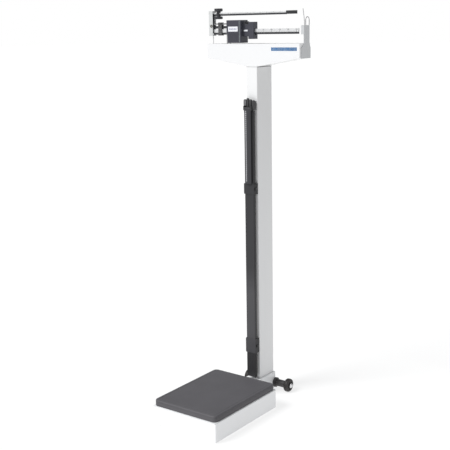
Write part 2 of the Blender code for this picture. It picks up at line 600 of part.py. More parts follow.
def build_height_rod(rod, arm):
    rod_section(CHANNEL_W / 2, *CHANNEL_Y, CHANNEL_WALL, *CHANNEL_Z, "rod_channel", DARK)
    play = CHANNEL_WALL + 0.0010
    top = HEAD_BLOCK_Z[0] - GAP
    rod_section(CHANNEL_W / 2 - play, CHANNEL_Y[0] + play, CHANNEL_Y[1] - play, 0.0015, 0.1000, top,
                "inner_rod", DARK, rod)

    head = as_mesh(plate("rod_head", [finger_outline(-ROD_HEAD_HALF, ROD_HEAD_HALF, *HEAD_BLOCK_Z, 4)],
                         ROD_HEAD_Y[1] - ROD_HEAD_Y[0], BLACK, (0.0, sum(ROD_HEAD_Y) / 2, 0.0), ROT_XZ, rod))
    for x in (-1, 1):
        inner = x * (ARM_W / 2 + 0.0010)
        outer = x * 0.0200
        ear = block("rod_head_ear", (min(inner, outer), 0.1225, 1.0740), (max(inner, outer), 0.1360, 1.0890),
                    BLACK, cutter=True)
        boolean(head, ear, "UNION")
    cut_round(head, 0.0025, 0.07, (0.0, *ARM_PIN), AXIS_X)
    pin("arm_hinge_pin", 0.0022, 0.0400, STEEL, (0.0, *ARM_PIN), AXIS_X, rod)

    y, z = ARM_PIN
    knuckle = ring(y, z, 0.0042, 9, 0.0, math.pi)
    outline = knuckle + [(y - 0.0042, z - 0.02), (y - 0.0034, ARM_END_Z), (y + 0.0010, ARM_END_Z),
                         (y + 0.0036, z - 0.02)]
    plate("measuring_arm", [outline, ring(y, z, 0.0026)], ARM_W, DARK, (0.0, 0.0, 0.0), ROT_YZ, arm)


def build_clip(name, low, high, screw_axis):
    """A strap that holds the channel off the column, closed by a thumb screw on the right."""
    half = CHANNEL_W / 2 + GAP
    outer = half + 0.0028
    front = CHANNEL_Y[0] - GAP - 0.0018
    rear = COLUMN_Y[0] - GAP
    strap = [(-outer, front), (outer, front), (outer, rear), (half, rear), (half, CHANNEL_Y[0] - GAP),
             (-half, CHANNEL_Y[0] - GAP), (-half, rear), (-outer, rear)]
    clip = as_mesh(plate(name, [strap], high - low, BLACK, (0.0, 0.0, (low + high) / 2), ROT_XY))
    at = (0.0, screw_axis.location.y, screw_axis.location.z)
    cut_round(clip, 0.0018, 0.10, at, AXIS_X)
    profile = [(0.0, outer + 0.0050), (0.0045, outer + 0.0050), (0.0050, outer + 0.0040),
               (0.0050, outer + GAP), (0.0014, outer + GAP), (0.0014, half + GAP), (0.0, half + GAP)]
    turned(name + "_screw", profile, STEEL, at, AXIS_X, screw_axis, steps=14)


# ---------------------------------------------------------------- transport wheels
def build_wheel(side, sign, axis):
    rotation = AXIS_X if sign > 0 else (0.0, -math.pi / 2, 0.0)
    at = (0.0, WHEEL_Y, WHEEL_Z)
    neck = NECK_W / 2 + GAP
    inner, outer = WHEEL_X
    pin_end = outer + 0.003
    profile = [(0.0, pin_end), (0.005, pin_end), (0.005, 0.0760), (0.0135, 0.0760), (0.0135, 0.0395),
               (0.0185, 0.0380), (0.0185, neck), (0.0, neck)]
    turned(f"axle_{side}", profile, DARK, at, rotation)
    profile = [(0.0054, outer), (0.0200, outer), (WHEEL_R - 0.002, outer - 0.0015), (WHEEL_R, outer - 0.004),
               (WHEEL_R, inner + 0.004), (WHEEL_R - 0.002, inner + 0.0015), (0.0200, inner), (0.0054, inner)]
    turned(f"wheel_{side}", profile, TYRE, at, rotation, axis, steps=28)
    nut = pin_end + GAP
    profile = [(0.0, nut + 0.0050), (0.0060, nut + 0.0040), (0.0090, nut + 0.0010), (0.0090, nut), (0.0, nut)]
    turned(f"hub_nut_{side}", profile, BRIGHT, at, rotation, steps=12)


# ---------------------------------------------------------------- assembly
LINK_Y = (LEVER_FRONT + LEVER_REAR) / 2
CLIPS = (("upper_clip", 0.7730, 0.8110), ("lower_clip", 0.1730, 0.2280))
CLIP_SCREW_Y = 0.1400

build_base()
build_levers(
    carrier("long_lever_axis", (0.0, LEVER_FRONT, LONG_PIN_Z)),
    carrier("short_lever_axis", (0.0, LEVER_REAR, SHORT_PIN_Z)),
    carrier("nose_link_axis", (0.0, LINK_Y, LONG_PIN_Z)),
    carrier("platform_axis", (0.0, (BASE_FRONT + BASE_REAR) / 2, MAT_Z[0])),
    carrier("steelyard_axis", (0.0, BEAM_Y, LONG_PIN_Z)),
)
build_platform(bpy.data.objects["platform_axis"])
build_column()
build_head()
build_transfer(
    carrier("shelf_axis", (SHELF_PIVOT_X, BEAM_Y, SHELF_Z)),
    carrier("stirrup_axis", (LOAD_X, BEAM_Y, LOAD_Z)),
)
BEAM_AXIS = carrier("beam_axis", (PIVOT_X, BEAM_Y, PIVOT_Z))
build_beam(BEAM_AXIS)
build_poises(
    carrier("main_poise_axis", (-0.0805, BEAM_Y, LOWER_BAR_Z[0])),
    carrier("small_poise_axis", (-0.162, BEAM_Y, UPPER_BAR_Z[0])),
    carrier("balance_weight_axis", (-0.152, BEAM_Y, SCREW_Z)),
    carrier("pawl_axis", (-0.037, BEAM_Y, 1.3723)),
)
build_height_rod(
    carrier("height_rod_axis", (0.0, sum(CHANNEL_Y) / 2, CHANNEL_Z[0])),
    carrier("arm_axis", (0.0, *ARM_PIN)),
)
for clip_name, clip_low, clip_high in CLIPS:
    screw = carrier(clip_name + "_screw_axis", (0.0, CLIP_SCREW_Y, (clip_low + clip_high) / 2))
    build_clip(clip_name, clip_low, clip_high, screw)
for wheel_side, wheel_sign in (("left", -1), ("right", 1)):
    build_wheel(wheel_side, wheel_sign, carrier(f"wheel_{wheel_side}_axis", (0.0, WHEEL_Y, WHEEL_Z)))
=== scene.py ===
import json
import math

import bmesh
import bpy
from mathutils import Matrix, Vector

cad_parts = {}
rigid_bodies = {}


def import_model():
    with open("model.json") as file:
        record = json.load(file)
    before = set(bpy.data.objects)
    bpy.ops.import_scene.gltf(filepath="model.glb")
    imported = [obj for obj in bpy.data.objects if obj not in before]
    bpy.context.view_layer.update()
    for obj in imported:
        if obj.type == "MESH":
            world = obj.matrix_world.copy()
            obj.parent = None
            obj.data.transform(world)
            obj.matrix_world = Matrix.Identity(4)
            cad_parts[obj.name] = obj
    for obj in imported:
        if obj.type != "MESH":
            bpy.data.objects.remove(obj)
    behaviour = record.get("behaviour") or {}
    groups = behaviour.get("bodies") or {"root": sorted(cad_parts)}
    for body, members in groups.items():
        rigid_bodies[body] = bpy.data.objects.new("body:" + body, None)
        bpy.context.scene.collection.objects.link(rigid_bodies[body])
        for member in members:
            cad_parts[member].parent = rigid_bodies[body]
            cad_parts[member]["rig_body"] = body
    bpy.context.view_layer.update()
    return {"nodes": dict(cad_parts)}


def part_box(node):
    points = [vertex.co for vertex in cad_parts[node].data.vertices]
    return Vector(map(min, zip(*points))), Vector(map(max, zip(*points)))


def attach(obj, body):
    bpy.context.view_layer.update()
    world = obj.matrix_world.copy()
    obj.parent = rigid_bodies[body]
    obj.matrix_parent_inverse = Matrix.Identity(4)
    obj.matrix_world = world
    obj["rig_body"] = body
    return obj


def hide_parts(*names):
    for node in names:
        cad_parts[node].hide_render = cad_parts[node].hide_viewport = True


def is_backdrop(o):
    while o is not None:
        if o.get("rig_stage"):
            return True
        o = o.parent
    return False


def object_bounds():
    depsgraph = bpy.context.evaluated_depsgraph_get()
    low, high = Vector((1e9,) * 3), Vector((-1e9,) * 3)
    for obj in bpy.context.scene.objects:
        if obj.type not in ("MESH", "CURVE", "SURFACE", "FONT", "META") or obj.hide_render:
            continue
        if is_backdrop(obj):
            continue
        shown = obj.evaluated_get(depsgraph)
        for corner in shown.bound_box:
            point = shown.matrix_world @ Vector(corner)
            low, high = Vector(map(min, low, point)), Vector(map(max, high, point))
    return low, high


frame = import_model()

# ---------------------------------------------------------------- camera, light and floor
# The scale stands on a plain pale studio floor that runs to the horizon.  One soft lamp stands
# high at the front left, so fronts are bright and the right-hand sides fall into half shade.
CAMERA_AT = (1.8737, -2.5233, 1.3619)
CAMERA_YAW = math.radians(36.78)
CAMERA_DOWN = math.radians(12.17)
CAMERA_ROLL = math.radians(-0.994)


def linked(name, data):
    """An object for a camera, lamp, mesh or curve, put in the scene."""
    piece = bpy.data.objects.new(name, data)
    bpy.context.scene.collection.objects.link(piece)
    return piece


def add_node(tree, kind, inputs, **settings):
    """A node with its settings; each input is joined to another node's output or given a value."""
    node = tree.nodes.new(kind)
    for label, value in settings.items():
        setattr(node, label, value)
    for label, value in inputs.items():
        if isinstance(value, bpy.types.NodeSocket):
            tree.links.new(value, node.inputs[label])
        else:
            node.inputs[label].default_value = value
    return node


look = Vector((-math.sin(CAMERA_YAW) * math.cos(CAMERA_DOWN),
               math.cos(CAMERA_YAW) * math.cos(CAMERA_DOWN), -math.sin(CAMERA_DOWN)))
level = Vector((math.cos(CAMERA_YAW), math.sin(CAMERA_YAW), 0.0))
upright = level.cross(look)
side = level * math.cos(CAMERA_ROLL) + upright * math.sin(CAMERA_ROLL)
top = upright * math.cos(CAMERA_ROLL) - level * math.sin(CAMERA_ROLL)
turn = Matrix((side, top, -look)).transposed().to_4x4()
camera = linked("camera", bpy.data.cameras.new("camera"))
camera.matrix_world = Matrix.Translation(CAMERA_AT) @ turn
camera.data.sensor_width = 36.0
camera.data.lens = 73.45
camera.data.clip_start = 0.05
camera.data.clip_end = 200.0
bpy.context.scene.camera = camera
bpy.context.scene.view_settings.view_transform = "Standard"

world = bpy.data.worlds.new("studio")
world.use_nodes = True
bpy.context.scene.world = world
tree = world.node_tree
sky = tree.nodes["Background"]
sky.inputs["Color"].default_value = (0.97, 0.985, 1.0, 1.0)
sky.inputs["Strength"].default_value = 0.46
bright = add_node(tree, "ShaderNodeBackground", {"Color": (1.0, 1.0, 1.0, 1.0), "Strength": 1.0})
ray = add_node(tree, "ShaderNodeLightPath", {})
both = add_node(tree, "ShaderNodeMixShader", {
    "Fac": ray.outputs["Is Camera Ray"], 1: sky.outputs["Background"],
    2: bright.outputs["Background"]})
tree.links.new(both.outputs["Shader"], tree.nodes["World Output"].inputs["Surface"])

lamp = linked("soft_lamp", bpy.data.lights.new("soft_lamp", "SUN"))
lamp.data.energy = 2.5
lamp.data.angle = math.radians(24)
lamp.rotation_euler = Vector((-0.3, -0.58, 0.76)).to_track_quat("Z", "Y").to_euler()

FLOOR_HALF = 60.0
floor_mesh = bpy.data.meshes.new("floor")
floor_mesh.from_pydata([(x * FLOOR_HALF, y * FLOOR_HALF, -0.0002)
                        for x, y in ((-1, -1), (1, -1), (1, 1), (-1, 1))], [], [(0, 1, 2, 3)])
floor = linked("floor", floor_mesh)
floor_paint = bpy.data.materials.new("floor_paint")
floor_paint.use_nodes = True
shader = floor_paint.node_tree.nodes["Principled BSDF"]
shader.inputs["Base Color"].default_value = (0.3, 0.3, 0.3, 1.0)
shader.inputs["Roughness"].default_value = 0.9
shader.inputs["Specular IOR Level"].default_value = 0.0
shader.inputs["Emission Color"].default_value = (1.0, 1.0, 1.0, 1.0)
shader.inputs["Emission Strength"].default_value = 0.72
floor_mesh.materials.append(floor_paint)
floor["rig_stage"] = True

# ---------------------------------------------------------------- base tray, neck and feet
# The base is a folded steel tray in baked white enamel, with a sheet neck cover screwed on
# behind it for the column.  Four grooved rubber feet are screwed up through its floor.
SHEET_EDGE = 0.0006
FOOT_TOP = 0.0037
TALLEST = 1.5
ROUND = 40.0
SHARP = math.radians(33)


def finish(name, colour, rough, metal=0.0, mottle=0.05, cloud=9.0, grain=900.0, bump=0.06,
           depth=0.0002, stretch=(1.0, 1.0, 1.0), dust=0.0, dust_colour=(0.6, 0.6, 0.6), wear=0.0,
           wear_colour=(0.5, 0.5, 0.52), coat=0.0, painted_light_by_height=None, painted_shade_on_sides=None, shine=0.5):
    """A surface with cloudy colour, uneven gloss, a fine grain in relief, specks and worn edges.

    The height tone paints light and shade into it along the height by (height, tone) pairs; the
    side tone paints shade on its sideways faces too, also by height.
    """
    paint = bpy.data.materials.new(name)
    paint.use_nodes = True
    tree = paint.node_tree
    place = add_node(tree, "ShaderNodeTexCoord", {}).outputs["Object"]
    mapping = add_node(tree, "ShaderNodeMapping", {"Scale": stretch, "Vector": place})
    mapped = mapping.outputs["Vector"]

    def noise(scale, detail, roughness, source):
        return add_node(tree, "ShaderNodeTexNoise", {
            "Scale": scale, "Detail": detail, "Roughness": roughness,
            "Vector": source}).outputs["Fac"]

    def tones(source, stops):
        """Colour by the value that comes in, between stops of (value, colour)."""
        ramp = add_node(tree, "ShaderNodeValToRGB", {"Fac": source})
        elements = ramp.color_ramp.elements
        while len(elements) < len(stops):
            elements.new(0.5)
        for element, (value, shade) in zip(elements, stops):
            element.position = value
            element.color = (*shade, 1.0)
        return ramp.outputs["Color"]

    def grey(source, low, high, first, second):
        return tones(source, ((low, (first,) * 3), (high, (second,) * 3)))

    def mix(first, second, factor=1.0, how="MIX"):
        return add_node(tree, "ShaderNodeMix", {"Factor": factor, "A": first, "B": second},
                        data_type="RGBA", blend_type=how).outputs["Result"]

    def calculate(operation, *values):
        return add_node(tree, "ShaderNodeMath", dict(enumerate(values)),
                        operation=operation).outputs["Value"]

    def split(source):
        return add_node(tree, "ShaderNodeSeparateXYZ", {"Vector": source}).outputs

    dark = [c * (1.0 - mottle) for c in colour]
    light = [min(1.0, c * (1.0 + mottle)) for c in colour]
    skin = tones(noise(cloud, 5.0, 0.6, place), ((0.32, dark), (0.68, light)))
    lines = noise(grain, 3.0, 0.55, mapped)
    skin = mix(skin, grey(lines, 0.3, 0.6, 1.0 - 1.6 * mottle, 1.0), how="MULTIPLY")
    # Painted light and shade: a tone along the height, and a darker tone on the faces that look
    # sideways.
    for levels, sideways in ((painted_light_by_height, False), (painted_shade_on_sides, True)):
        if not levels:
            continue
        along = add_node(tree, "ShaderNodeMapRange", {
            "From Max": TALLEST, "Value": split(place)["Z"]})
        painted_light_tone = tones(along.outputs["Result"], [(z / TALLEST, (tone,) * 3) for z, tone in levels])
        share = 1.0
        if sideways:
            facing = add_node(tree, "ShaderNodeTexCoord", {}).outputs["Normal"]
            share = calculate("ABSOLUTE", split(facing)["X"])
        skin = mix(skin, painted_light_tone, share, "MULTIPLY")
    if dust:
        specks = grey(noise(260.0, 4.0, 0.7, place), 0.62, 0.74, 0.0, dust)
        skin = mix(skin, (*dust_colour, 1.0), specks)
    if wear:
        edges = add_node(tree, "ShaderNodeNewGeometry", {}).outputs["Pointiness"]
        rub = calculate("MULTIPLY", grey(edges, 0.53, 0.6, 0.0, wear),
                        grey(noise(120.0, 4.0, 0.6, place), 0.42, 0.62, 0.0, 1.0))
        skin = mix(skin, (*wear_colour, 1.0), rub)
    gloss = add_node(tree, "ShaderNodeMapRange", {
        "To Min": max(0.03, rough - 0.07), "To Max": min(1.0, rough + 0.07),
        "Value": noise(cloud * 4.0, 4.0, 0.6, mapped)})
    relief = add_node(tree, "ShaderNodeBump", {
        "Strength": bump, "Distance": depth, "Height": lines})
    shell = tree.nodes["Principled BSDF"]
    for label, value in {"Metallic": metal, "Coat Weight": coat, "Coat Roughness": 0.12,
                         "Specular IOR Level": shine}.items():
        shell.inputs[label].default_value = value
    for label, source in {"Base Color": skin, "Roughness": gloss.outputs["Result"],
                          "Normal": relief.outputs["Normal"]}.items():
        tree.links.new(source, shell.inputs[label])
    return paint


def plain_mesh(piece):
    """The mesh of an object as its modifiers and curves leave it."""
    bpy.context.view_layer.update()
    shown = piece.evaluated_get(bpy.context.evaluated_depsgraph_get())
    return bpy.data.meshes.new_from_object(shown)


def hand_over(piece, slot, body, *nodes):
    """Let a finished piece move with its body and stand for its CAD nodes; the slot is not used."""
    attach(piece, body)
    if nodes:
        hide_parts(*nodes)
    return piece


def linked_mesh(name, bm):
    """The object for a worked mesh, which is then done with."""
    mesh = bpy.data.meshes.new(name)
    bm.to_mesh(mesh)
    bm.free()
    return linked(name, mesh)


def settled(piece):
    """Make what a piece's modifiers do to it its own mesh."""
    piece.data = plain_mesh(piece)
    piece.data.name = piece.name
    piece.modifiers.clear()
    return piece


def shown(name, bm, paint, slot, body, *nodes, crease=50.0):
    """Turn a worked mesh into a piece with even shading: smooth bends, crisp corners."""
    piece = linked_mesh(name, bm)
    mesh = piece.data
    mesh.materials.append(paint)
    for face in mesh.polygons:
        face.use_smooth = True
        face.material_index = 0
    mesh.set_sharp_from_angle(angle=math.radians(crease))
    even = piece.modifiers.new("even", "WEIGHTED_NORMAL")
    even.keep_sharp = True
    return hand_over(settled(piece), slot, body, *nodes)


def ease_corners(bm, width, segments, shortest=0.0):
    """Round off every corner edge that is sharp, and longer than the shortest."""
    corners = [e for e in bm.edges if len(e.link_faces) == 2 and e.calc_length() > shortest
               and e.calc_face_angle(0.0) > SHARP]
    bmesh.ops.bevel(bm, geom=corners, offset=width, segments=segments, profile=0.5,
                    affect="EDGES", clamp_overlap=True)


def eased(node, paint, width, slot, segments=2):
    """Stand in for a CAD node with the same shape, its corners eased by a small radius."""
    bm = bmesh.new()
    bm.from_mesh(frame["nodes"][node].data)
    bmesh.ops.remove_doubles(bm, verts=bm.verts, dist=1e-6)
    bmesh.ops.dissolve_limit(bm, angle_limit=math.radians(1.0), verts=bm.verts, edges=bm.edges)
    ease_corners(bm, width, segments, 3 * width)
    return shown(node + "_eased", bm, paint, slot, frame["nodes"][node]["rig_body"], node)


def lathe(bm, profile, at, axis, steps=48):
    """Turn a profile of (radius, height) about an axis through a point, closed at both ends."""
    frame_turn = Vector(axis).to_track_quat("Z", "Y").to_matrix().to_4x4()
    where = Matrix.Translation(at) @ frame_turn
    ring_before = None
    faces = []
    closed = profile[0][0] > 1e-7
    path = profile + [profile[0]] if closed else profile
    first_ring = None
    for index, (radius, height) in enumerate(path):
        if closed and index == len(path) - 1:
            ring = first_ring
        elif radius < 1e-7:
            ring = [bm.verts.new(where @ Vector((0.0, 0.0, height)))]
        else:
            angles = [2 * math.pi * i / steps for i in range(steps)]
            ring = [bm.verts.new(where @ Vector((radius * math.cos(angle),
                                                 radius * math.sin(angle), height)))
                    for angle in angles]
        first_ring = first_ring or ring
        if ring_before:
            for i in range(steps):
                quad = [ring_before[i % len(ring_before)], ring_before[(i + 1) % len(ring_before)],
                        ring[(i + 1) % len(ring)], ring[i % len(ring)]]
                quad = [v for n, v in enumerate(quad) if v not in quad[:n]]
                if len(quad) > 2:
                    faces.append(bm.faces.new(quad))
        ring_before = ring
    bmesh.ops.recalc_face_normals(bm, faces=faces)


def turned(name, profile, at, axis, paint, slot, body, *nodes, steps=48):
    """A turned piece, smooth round its axis."""
    bm = bmesh.new()
    lathe(bm, profile, at, axis, steps)
    return shown(name, bm, paint, slot, body, *nodes, crease=ROUND)


white_enamel = finish("white_enamel_baked", (0.885, 0.89, 0.9), 0.34, mottle=0.006, cloud=3.0,
                      grain=420.0, bump=0.1, coat=0.25)
foot_rubber = finish("foot_rubber", (0.022, 0.021, 0.02), 0.72, mottle=0.2, grain=1400.0, bump=0.3,
                     dust=0.3, dust_colour=(0.16, 0.15, 0.14))
eased("base_tray", white_enamel, SHEET_EDGE, "white_enamel")
eased("neck_cover", white_enamel, SHEET_EDGE, "white_enamel")
for end in ("front", "rear"):
    for hand in ("left", "right"):
        node = f"foot_{end}_{hand}"
        low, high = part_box(node)
        middle = (low + high) / 2
        radius = (high.x - low.x) / 2
        profile = [(0.0, FOOT_TOP), (radius - 0.0024, FOOT_TOP),
                   (radius - 0.0006, FOOT_TOP - 0.0006),
                   (radius, 0.0026), (radius - 0.0007, 0.002),
                   (radius, 0.0014), (radius - 0.0007, 0.0008),
                   (radius - 0.0012, 0.0), (0.01, 0.0), (0.0092, 0.001), (0.0, 0.001)]
        turned(node + "_turned", profile, (middle.x, middle.y, 0.0), (0, 0, 1), foot_rubber,
               "wheel_rubber", "frame", node)

# Screws, ticks, ribs and knurls are all one small shape repeated along a line or about a pin.
REPEAT_INPUTS = {"Shape": "Geometry", "Count": "Int", "Start": "Vector", "Step": "Vector",
                 "Turn": "Vector", "Every": "Int", "Longer": "Vector", "Finish": "Material"}
repeat_tree = bpy.data.node_groups.new("repeat_shape", "GeometryNodeTree")
repeat_tree.is_modifier = True
repeat_ids = {}
for label, kind in REPEAT_INPUTS.items():
    repeat_ids[label] = repeat_tree.interface.new_socket(
        label, in_out="INPUT", socket_type="NodeSocket" + kind).identifier
repeat_tree.interface.new_socket("Shape", in_out="OUTPUT", socket_type="NodeSocketGeometry")
given = repeat_tree.nodes.new("NodeGroupInput").outputs
result = repeat_tree.nodes.new("NodeGroupOutput").inputs
line = add_node(repeat_tree, "GeometryNodeMeshLine", {
    "Count": given["Count"], "Start Location": given["Start"], "Offset": given["Step"]},
    mode="OFFSET")
index = add_node(repeat_tree, "GeometryNodeInputIndex", {}).outputs["Index"]
modulo = add_node(repeat_tree, "ShaderNodeMath", {0: index, 1: given["Every"]}, operation="MODULO")
is_long = add_node(repeat_tree, "ShaderNodeMath", {0: modulo.outputs[0], 1: 0.5},
                   operation="LESS_THAN")
sizes = add_node(repeat_tree, "ShaderNodeMix", {"Factor": is_long.outputs[0]}, data_type="VECTOR")
size_a, size_b = [s for s in sizes.inputs if s.name in "AB" and s.type == "VECTOR"]
size_a.default_value = (1.0, 1.0, 1.0)
repeat_tree.links.new(given["Longer"], size_b)
angles = add_node(repeat_tree, "ShaderNodeVectorMath", {0: given["Turn"], "Scale": index},
                  operation="SCALE")
put = add_node(repeat_tree, "GeometryNodeInstanceOnPoints", {
    "Points": line.outputs["Mesh"], "Instance": given["Shape"],
    "Rotation": angles.outputs["Vector"],
    "Scale": [s for s in sizes.outputs if s.type == "VECTOR"][0]})
real = add_node(repeat_tree, "GeometryNodeRealizeInstances", {"Geometry": put.outputs["Instances"]})
colour_it = add_node(repeat_tree, "GeometryNodeSetMaterial", {
    "Geometry": real.outputs["Geometry"], "Material": given["Finish"]})
repeat_tree.links.new(colour_it.outputs["Geometry"], result["Shape"])
NEVER = 100000


def repeated(name, bm, paint, slot, body, count, start, step=(0, 0, 0), turn_by=(0, 0, 0),
             every=NEVER, longer=(1, 1, 1)):
    """Repeat one small shape; every so-many-th one, counted from the first, is made longer."""
    piece = linked_mesh(name, bm)
    grow = piece.modifiers.new("repeat", "NODES")
    grow.node_group = repeat_tree
    values = {"Count": count, "Start": start, "Step": step, "Turn": turn_by, "Every": every,
              "Longer": longer, "Finish": paint}
    for label, value in values.items():
        if isinstance(value, (tuple, Vector)):
            value = [float(x) for x in value]
        grow[repeat_ids[label]] = value
    return hand_over(settled(piece), slot, body)


def add_box(bm, low, high):
    """One small box with outward faces."""
    size = [b - a for a, b in zip(low, high)]
    centre = [(a + b) / 2 for a, b in zip(low, high)]
    bmesh.ops.create_cube(bm, size=1.0,
                          matrix=Matrix.Translation(centre) @ Matrix.Diagonal((*size, 1.0)))


def box_shape(*corners):
    """One mesh of small boxes, given as their low and high corners in turn."""
    bm = bmesh.new()
    for low, high in zip(corners[::2], corners[1::2]):
        add_box(bm, low, high)
    return bm


def screw_head(radius, height, axis):
    """A domed screw head with a sunk middle, standing on the plane through its origin."""
    bm = bmesh.new()
    profile = [(0.0, height * 0.55), (radius * 0.16, height * 0.55), (radius * 0.2, height),
               (radius * 0.62, height * 0.86), (radius * 0.92, height * 0.45), (radius, 0.0),
               (0.0, 0.0)]
    lathe(bm, profile, (0, 0, 0), axis, 16)
    return bm


screw_steel = finish("screw_steel", (0.62, 0.62, 0.64), 0.3, metal=1.0, mottle=0.08,
                     grain=1500.0, bump=0.05)
NECK_SCREW_Y = 0.112
NECK_SCREW_Z = 0.054
low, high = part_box("neck_cover")
for hand, sign, x in (("left", -1, low.x), ("right", 1, high.x)):
    repeated(f"neck_screws_{hand}", screw_head(0.0032, 0.0016, (sign, 0, 0)), screw_steel,
             "plain_steel", "frame", 2, (x, NECK_SCREW_Y, NECK_SCREW_Z), (0.0, 0.0, -0.036))
RIVETS = 4
RIVET_STEP = 0.064
low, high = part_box("base_tray")
repeated("tray_front_rivets", screw_head(0.0026, 0.001, (0, 0, -1)), screw_steel, "plain_steel",
         "frame", RIVETS, (-RIVET_STEP * (RIVETS - 1) / 2, low.y + 0.02, low.z),
         (RIVET_STEP, 0.0, 0.0))

# ---------------------------------------------------------------- platform and its mat
# The load is taken by a pressed steel pan.  A moulded dark-grey rubber mat wraps over it, with
# a round-edged border, a shallow channel inside the border and a fine pebbled standing area.
mat_low, mat_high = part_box("platform_mat")
MAT_CORNER = 0.0165
MAT_SKIN = 0.003


def rounded_loop(bm, centre, half_x, half_y, radius, z, count=8):
    """A closed ring of points round a rectangle with round corners."""
    loop = []
    for corner, (sx, sy) in enumerate(((1, 1), (-1, 1), (-1, -1), (1, -1))):
        for i in range(count + 1):
            angle = math.pi / 2 * (corner + i / count)
            loop.append(bm.verts.new((
                centre.x + sx * (half_x - radius) + radius * math.cos(angle),
                centre.y + sy * (half_y - radius) + radius * math.sin(angle), z)))
    return loop


def skinned(bm, loops):
    """Join each ring of points to the next one with a band of faces."""
    for before, loop in zip(loops, loops[1:]):
        for i in range(len(loop)):
            j = (i + 1) % len(loop)
            bm.faces.new((before[i], before[j], loop[j], loop[i]))


def set_in(bm, centre, half_x, half_y, corner, least, profile, count=8):
    """Rings set in from the outline by (inset, z), their corners no smaller than the least."""
    return [rounded_loop(bm, centre, half_x - inset, half_y - inset, max(least, corner - inset),
                         z, count) for inset, z in profile]


def lofted(centre, half_x, half_y, corner, profile):
    """A solid skinned over rings set in from the outline, closed by the first and the last."""
    bm = bmesh.new()
    loops = set_in(bm, centre, half_x, half_y, corner, 0.0012, profile)
    bm.faces.new(loops[0][::-1])
    skinned(bm, loops)
    bm.faces.new(loops[-1])
    bmesh.ops.recalc_face_normals(bm, faces=bm.faces)
    return bm


mat_rubber = finish("mat_rubber_moulded", (0.09, 0.087, 0.095), 0.62, cloud=14.0, grain=620.0,
                    bump=0.55, depth=0.0005, dust=0.12, dust_colour=(0.22, 0.21, 0.21))
centre = (mat_low + mat_high) / 2
half_x = (mat_high.x - mat_low.x) / 2
half_y = (mat_high.y - mat_low.y) / 2
z = mat_high.z
under = z - MAT_SKIN
profile = [(MAT_SKIN + 0.0004, under), (MAT_SKIN, under - 0.0006), (MAT_SKIN, mat_low.z),
           (0.0016, mat_low.z), (0.0002, mat_low.z + 0.0004), (0.0, mat_low.z + 0.0016),
           (0.0, z - 0.0085), (0.0009, z - 0.0078),
           (0.0009, z - 0.0066), (0.0, z - 0.0058), (0.0002, z - 0.004), (0.001, z - 0.0022),
           (0.0022, z - 0.0009), (0.004, z - 0.0002), (0.006, z), (0.0098, z),
           (0.0106, z - 0.0003),
           (0.0112, z - 0.001), (0.0126, z - 0.001), (0.0132, z - 0.0003), (0.014, z - 0.0001)]
bm = lofted(centre, half_x, half_y, MAT_CORNER, profile)
shown("platform_mat_moulded", bm, mat_rubber, "mat_rubber", "platform", "platform_mat",
      crease=70.0)
pan_steel = finish("pan_steel", (0.42, 0.43, 0.44), 0.42, metal=1.0, mottle=0.08, grain=700.0,
                   bump=0.08, dust=0.2, dust_colour=(0.25, 0.2, 0.16))
pan_low, pan_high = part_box("platform_pan")
pan_x = (pan_high.x - pan_low.x) / 2
pan_y = (pan_high.y - pan_low.y) / 2
PAN_WALL = 0.002
profile = [(PAN_WALL + 0.001, pan_high.z - PAN_WALL), (PAN_WALL, pan_high.z - PAN_WALL - 0.001),
           (PAN_WALL, pan_low.z), (0.0, pan_low.z), (0.0, pan_high.z - 0.0022),
           (0.0006, pan_high.z - 0.0007), (0.0022, pan_high.z)]
bm = lofted((pan_low + pan_high) / 2, pan_x, pan_y, MAT_CORNER - MAT_SKIN - 0.0003, profile)
shown("platform_pan_pressed", bm, pan_steel, "plain_steel", "platform", "platform_pan")

# A white enamelled sheet frame lies under the mat's edge and covers the tray's rim.
RIM_X = 0.1378
RIM_UNDER = 0.0718
RIM_CORNER = 0.008
RIM_REACH = 0.014
rim_y = RIM_X + (half_y - half_x)
rim_top = mat_low.z - 0.0002
profile = [(RIM_REACH, RIM_UNDER), (0.0004, RIM_UNDER), (0.0, RIM_UNDER + 0.0004),
           (0.0, rim_top - 0.0005), (0.0005, rim_top), (RIM_REACH, rim_top),
           (RIM_REACH, RIM_UNDER)]
bm = bmesh.new()
skinned(bm, set_in(bm, centre, RIM_X, rim_y, RIM_CORNER, 0.003, profile))
bmesh.ops.remove_doubles(bm, verts=bm.verts, dist=1e-6)
bmesh.ops.recalc_face_normals(bm, faces=bm.faces)
shown("platform_rim_sheet", bm, white_enamel, "white_enamel", "platform")

# ---------------------------------------------------------------- lever train in the base
# A long and a short cast-iron lever hang between steel stands bolted to the tray's floor.  They
# carry the platform on four hangers, and pull a steel rod that runs up inside the column.
cast_iron = finish("cast_iron", (0.13, 0.13, 0.135), 0.62, metal=0.5, mottle=0.15, cloud=30.0,
                   bump=0.5, depth=0.0004, dust=0.35, dust_colour=(0.2, 0.13, 0.08), wear=0.5)
rod_steel = finish("rod_steel", (0.55, 0.55, 0.56), 0.34, metal=1.0, mottle=0.06, grain=500.0,
                   stretch=(1.0, 1.0, 0.06), bump=0.08)
for end in ("front", "rear"):
    for hand in ("left", "right"):
        eased(f"fulcrum_stand_{end}_{hand}", cast_iron, 0.0005, "lever_iron")
        eased(f"platform_hanger_{end}_{hand}", cast_iron, 0.0005, "lever_iron")
eased("long_lever", cast_iron, 0.001, "lever_iron")
eased("short_lever", cast_iron, 0.0008, "lever_iron")
eased("nose_link", rod_steel, 0.0006, "plain_steel")
eased("steelyard_rod", rod_steel, 0.0003, "plain_steel")

